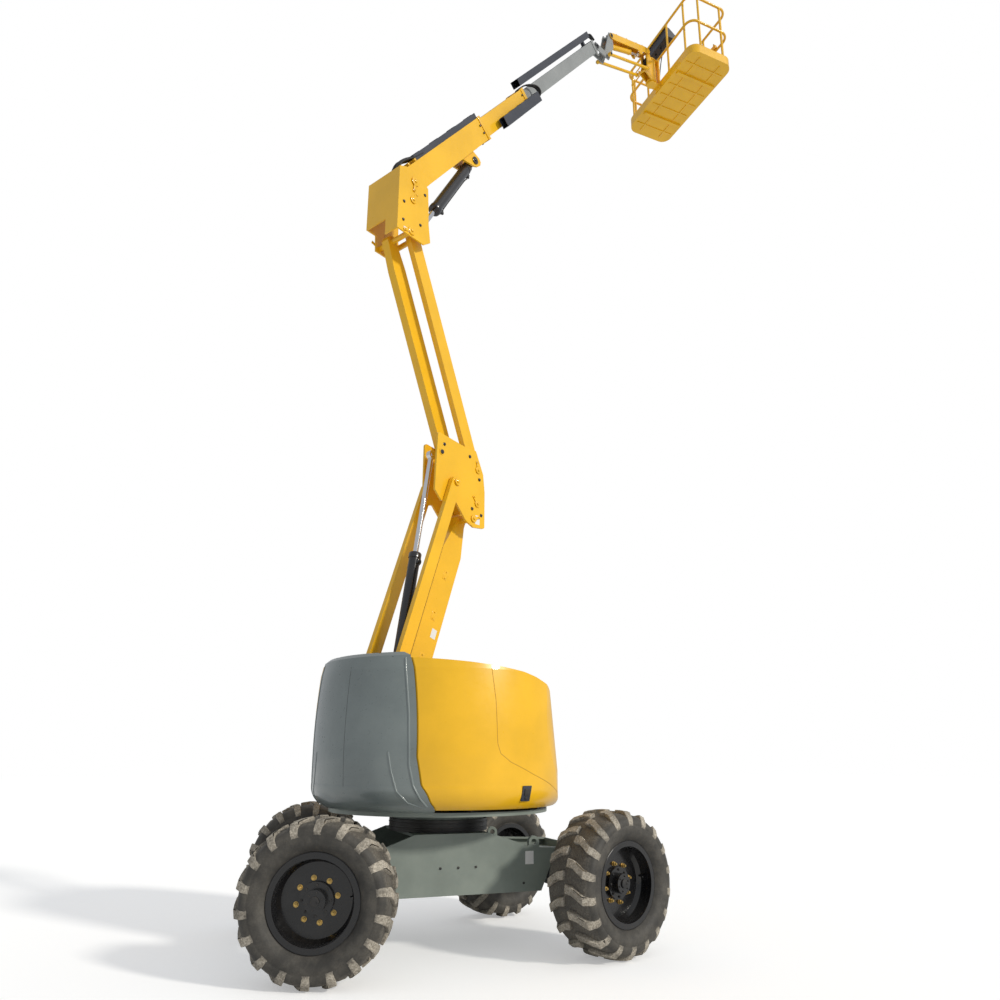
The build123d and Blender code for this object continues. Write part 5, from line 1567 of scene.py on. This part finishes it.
@dataclass
class Chassis:
    """Bolts, plates, ring bolts and hoses of the chassis.

    Args:
        paint: material maker.
        side: the frame's side plates from the middle.
        ring_r: radius of the slewing ring's bolt circle.
        ring_bolt_z: height of those bolts.
        seal_z: heights of the ring's two seals.
        end_at: the pads on the end plates.
        cover_at: middle of the bolts on an axle's round cover.
        kingpin_at: top of a kingpin.
        frame_bolts: (x, z) of the bolts on each side plate.
        sign_x: blank plates on each side.
        hose_r: radius of the axle hoses.
    """

    paint: PaintShop
    side: float = 0.472
    ring_r: float = 0.372
    ring_bolt_z: float = 0.925
    seal_z: tuple[float, ...] = (0.862, 0.900)
    end_at: Point = (1.146, 0.30, 0.668)
    cover_at: Point = (0.971, 0.110, 0.510)
    kingpin_at: Point = (0.971, 0.637, 0.650)
    frame_bolts: tuple[Spot, ...] = ((-0.12, 0.600), (0.02, 0.600), (0.16, 0.600), (-0.55, 0.470),
                                     (0.55, 0.470), (-1.08, 0.668), (1.08, 0.668), (-0.90, 0.668),
                                     (0.90, 0.668))
    sign_x: tuple[float, ...] = (-0.62, 0.60)
    hose_r: float = 0.009

    def build(self) -> None:
        """Every piece of the chassis."""
        self.side_bolts()
        self.ring()
        self.plates()
        self.hoses()
        self.axles()

    def side_bolts(self) -> None:
        """Bolts of the side plates."""
        form = Form()
        for side in (RIGHT, LEFT):
            for x, z in self.frame_bolts:
                form.head(moved(x, side * self.side, z) @ sideways(side), FRAME_BOLT)
        self.paint.dress(form, "frame_bolts", "chassis", Slot.AXLE)

    def ring(self) -> None:
        """Bolts and seals of the slewing ring."""
        ring = Form()
        for spot in ring_places(30, self.ring_r):
            ring.head(spot @ moved(0, 0, self.ring_bolt_z), RING_BOLT)
        for height in self.seal_z:
            ring.turned(moved(0, 0, height), [
                (0.3945, 0.0), (0.399, 0.002), (0.399, 0.008), (0.3945, 0.010)], steps=72, closed=True)
        self.paint.dress(ring, "ring_bolts", "chassis", Slot.AXLE)

    def plates(self) -> None:
        """Pads on the end plates and blank plates on the sides."""
        pads = Form()
        x, y, z = self.end_at
        for side in (RIGHT, LEFT):
            for end in (-1, 1):
                pads.block(moved(end * x, side * y, z), (0.006, 0.16, 0.046), EDGE)
        self.paint.dress(pads, "end_plates", "chassis", Slot.CHASSIS)
        signs = Form()
        for side in (RIGHT, LEFT):
            for x in self.sign_x:
                signs.block(moved(x, side * (self.side + 0.0006), 0.650), (0.070, 0.001, 0.095), 0.0)
        signs.piece("frame_plates", self.paint.white(), "chassis", Slot.GREY)

    def hoses(self) -> None:
        """Hoses from the frame to each axle."""
        hoses = Form()
        for end in (-1, 1):
            for k in range(3):
                y = -0.06 + 0.05 * k
                hoses.pipe([Vector(p) for p in (
                    (end * 0.70, y, 0.56), (end * 0.78, y, 0.565), (end * 0.84, y * 1.3, 0.600),
                    (end * 0.900, y * 1.6, 0.600), (end * 0.955, y * 1.9, 0.592))], self.hose_r, 4)
        hoses.piece("axle_hoses", self.paint.hose(), "chassis", Slot.AXLE)

    def axles(self) -> None:
        """Cover bolts of the axle middles and kingpin caps."""
        form = Form()
        for end in (-1, 1):
            for side in (RIGHT, LEFT):
                x, y, z = self.cover_at
                at = moved(end * x, side * y, z) @ sideways(side)
                for spot in ring_places(10, 0.095):
                    form.head(at @ spot, AXLE_BOLT)
                x, y, z = self.kingpin_at
                cap = moved(end * x, side * y, z)
                form.drum(cap, 0.028, 0.010, 28, SOFT)
                form.head(cap @ moved(0, 0, 0.010), KINGPIN_BOLT)
        self.paint.dress(form, "axle_bolts", "chassis", Slot.AXLE)


@dataclass
class Basket:
    """Console, gate, welds and floor of the work basket.

    Args:
        paint: material maker.
        near: the basket's inner side from its turning axis.
        width, half: its width and half its length.
        floor: the floor's height from the jib's outer upper pin.
        rail_h: the top rail's height above the floor.
        mid_rail, top_rail: middles of the rails above the floor.
        rail_r: a rail's radius.
        post_in, post_mid: posts from the corners and from the middle.
        glands: cable glands across the console.
        switch_at: the foot switch from the basket's inner side and middle.
    """

    paint: PaintShop
    near: float = 0.130
    width: float = 0.780
    half: float = 0.880
    floor: float = -0.555
    rail_h: float = 1.100
    mid_rail: float = 0.605
    top_rail: float = 1.081
    rail_r: float = 0.019
    post_in: float = 0.160
    post_mid: float = 0.280
    glands: tuple[float, ...] = (-0.14, 0.0, 0.14)
    switch_at: Spot = (0.24, -0.05)

    def build(self) -> None:
        """Every piece of the basket."""
        at = (Matrix.Rotation(SLEW, 4, "Z") @ moved(BASKET_AXIS[0], 0, BASKET_AXIS[1])
              @ Matrix.Rotation(BASKET_TURN, 4, "Z"))
        self.console(at)
        self.fittings(at)
        self.rails(at)
        self.tray(at)

    def console(self, at: Matrix) -> None:
        """Sloping panel with its joysticks, switches, keys and stop button.

        Args:
            at: the basket's frame.
        """
        top = self.floor + self.rail_h
        high = Vector((self.near + 0.105, 0, top - 0.019))
        low = Vector((self.near + 0.240, 0, top - 0.130))
        slope = math.atan2(high.z - low.z, low.x - high.x)
        panel = at @ Matrix.Translation((high + low) / 2) @ Matrix.Rotation(slope, 4, "Y")
        plate = Form()
        plate.block(panel @ moved(0, 0, 0.002), (0.150, 0.440, 0.004), 0.0015)
        self.paint.dress(plate, "console_panel", "basket", Slot.BOOM_GREY)
        sticks = Form()
        for y in (-0.15, 0.12):
            base = panel @ moved(-0.010, y, 0.004)
            sticks.drum(base, 0.027, 0.006, 28, EDGE)
            sticks.drum(base @ moved(0, 0, 0.006), 0.022, 0.014, 28, SOFT, top=0.010)
            sticks.drum(base @ moved(0, 0, 0.018), 0.0055, 0.026, 14, 0.0)
            sticks.drum(base @ moved(0, 0, 0.040), 0.011, 0.020, 20, 0.005, top=0.013)
        for k in range(6):
            y = -0.10 + 0.038 * k
            sticks.drum(panel @ moved(0.040, y, 0.004), 0.0075, 0.006, 16, FINE)
            sticks.drum(panel @ moved(0.040, y, 0.009), 0.0028, 0.015, 10, FINE, top=0.0036)
        for k in range(4):
            sticks.block(panel @ moved(-0.040, -0.065 + 0.034 * k, 0.007), (0.020, 0.024, 0.008), EDGE)
        self.paint.dress(sticks, "console_controls", "basket", Slot.PLASTIC)
        stop = Form()
        base = panel @ moved(-0.005, 0.195, 0.004)
        stop.drum(base, 0.010, 0.010, 20, FINE)
        stop.drum(base @ moved(0, 0, 0.010), 0.019, 0.010, 28, SOFT)
        stop.piece("console_stop", self.paint.red(), "basket", Slot.PLASTIC)

    def fittings(self, at: Matrix) -> None:
        """Cover bolts and cable glands of the console, with the cables clipped down to the floor.

        Args:
            at: the basket's frame.
        """
        top = self.floor + self.rail_h
        cover = Form()
        for y in (-0.2385, 0.2385):
            for dx, dz in ((0.065, -0.045), (0.065, -0.175), (0.180, -0.175)):
                cover.head(at @ moved(self.near + dx, y, top + dz) @ sideways(y), COVER_BOLT)
        for y in self.glands:
            cover.drum(at @ moved(self.near + 0.11, y, top - 0.218), 0.016, 0.018, 20, SOFT)
        self.paint.dress(cover, "console_fittings", "basket", Slot.BARREL)
        cables = Form()
        for k, y in enumerate(self.glands):
            low_y = 0.018 * (k - 1)
            cables.pipe(routed(at, (
                (self.near + 0.11, y, top - 0.218), (self.near + 0.11, y, top - 0.30),
                (self.near + 0.06, y * 0.6, top - 0.42), (self.near + 0.040, y * 0.35, top - 0.62),
                (self.near + 0.022, low_y, top - 0.90), (self.near + 0.020, low_y, top - 1.04))), 0.0075, 4)
        cables.piece("console_cables", self.paint.hose(), "basket", Slot.PLASTIC)

    def rails(self, at: Matrix) -> None:
        """Welds where posts meet rails, the gate's bars and a tool shelf.

        Args:
            at: the basket's frame.
        """
        mid = self.floor + self.mid_rail
        x0 = self.near + self.rail_r
        x1 = self.near + self.width - self.rail_r
        y = self.half - self.rail_r
        self.welds(at, x0, x1, y)
        gate = Form()
        heights = (mid + 0.16, mid + 0.32)
        for z in heights:
            gate.pipe(routed(at, (
                (x0 - 0.004, self.post_mid + 0.005, z), (x0 - 0.004, 0.40, z - 0.004),
                (x0 - 0.004, 0.60, z - 0.004), (x0 - 0.004, y - self.post_in - 0.005, z))), 0.0105, 5)
        for v in (self.post_mid, y - self.post_in):
            for z in heights:
                gate.turned(at @ moved(x0, v, z - 0.018), [
                    (0.0172, 0.0), (0.0225, 0.002), (0.0225, 0.034), (0.0172, 0.036)], steps=20, closed=True)
        self.paint.dress(gate, "gate_bars", "basket", Slot.YELLOW)
        shelf = Form()
        shelf.block(at @ moved(x1 - 0.045, -0.45, mid + 0.020), (0.075, 0.300, 0.006), EDGE)
        for end in (-0.59, -0.31):
            shelf.block(at @ moved(x1 - 0.045, end, mid + 0.040), (0.075, 0.006, 0.046), EDGE)
        self.paint.dress(shelf, "tool_shelf", "basket", Slot.YELLOW)

    def welds(self, at: Matrix, x0: float, x1: float, y: float) -> None:
        """Welds at every post of the rails.

        Args:
            at: the basket's frame.
            x0, x1: the rails along its inner and outer side.
            y: the rails across its ends, either way.
        """
        form = Form()
        spots = [(x, s * v) for x in (x0, x1) for s in (LEFT, RIGHT)
                 for v in (y - self.post_in, self.post_mid)]
        spots += [(x, s * y) for x in (x0 + self.post_in, x1 - self.post_in) for s in (LEFT, RIGHT)]
        for px, py in spots:
            for level in (self.mid_rail, self.top_rail):
                form.drum(at @ moved(px, py, self.floor + level - 0.030), 0.0182, 0.006, 18, FINE,
                          top=0.0205)
            form.turned(at @ moved(px, py, self.floor + 0.130), [
                (0.0172, 0.0), (0.0235, 0.0), (0.0215, 0.006), (0.0172, 0.008)], steps=20, closed=True)
        self.paint.dress(form, "rail_welds", "basket", Slot.YELLOW)

    def tray(self, at: Matrix) -> None:
        """Foot switch, and the bearers below the floor.

        Args:
            at: the basket's frame.
        """
        form = Form()
        x, y = self.near + self.switch_at[0], self.switch_at[1]
        form.block(at @ moved(x, y, self.floor + 0.010), (0.130, 0.200, 0.020), 0.004)
        pedal = at @ moved(x, y, self.floor + 0.040) @ Matrix.Rotation(0.18, 4, "Y")
        form.block(pedal, (0.120, 0.120, 0.012), 0.004)
        for dy in (-0.075, 0.035):
            form.block(at @ moved(x, y + dy, self.floor + 0.055), (0.125, 0.006, 0.075), EDGE)
        self.paint.dress(form, "foot_switch", "basket", Slot.PLASTIC)
        under = Form()
        middle = self.near + self.width / 2
        low = self.floor - 0.020
        for y in (-0.66, -0.22, 0.0, 0.22, 0.66):
            under.block(at @ moved(middle, y, low - 0.006), (self.width - 0.10, 0.022, 0.012), EDGE)
        for x in (middle - 0.19, middle + 0.19):
            under.block(at @ moved(x, 0, low - 0.0055), (0.022, 2 * self.half - 0.16, 0.011), EDGE)
        self.paint.dress(under, "floor_bearers", "basket", Slot.YELLOW)


class BoomLift:
    """The whole machine: finishes on the CAD nodes and the added pieces."""

    def __init__(self) -> None:
        """Open the machine's paint shop."""
        self.paint = PaintShop()

    def build(self) -> None:
        """Dress the CAD nodes, then add every sub-assembly."""
        self.dress()
        for part in (Wheels, Chassis, Covers, Arms, Boom, Jib, Basket):
            LOG.info("building %s", part.__name__)
            part(self.paint).build()

    def dress(self) -> None:
        """Give each CAD node the material of its slot."""
        slots = {row["node"]: Slot(row["material_slot"]) for row in frame["record"]["subparts"]}
        for name, node in frame["nodes"].items():
            node.data.materials.clear()
            node.data.materials.append(self.paint.of(slots[name]))


def main() -> None:
    """Build the scene."""
    logging.basicConfig(level=logging.INFO)
    bpy.context.scene.view_settings.view_transform = "Standard"
    Studio().build()
    BoomLift().build()


if __name__ == "__main__":
    main()
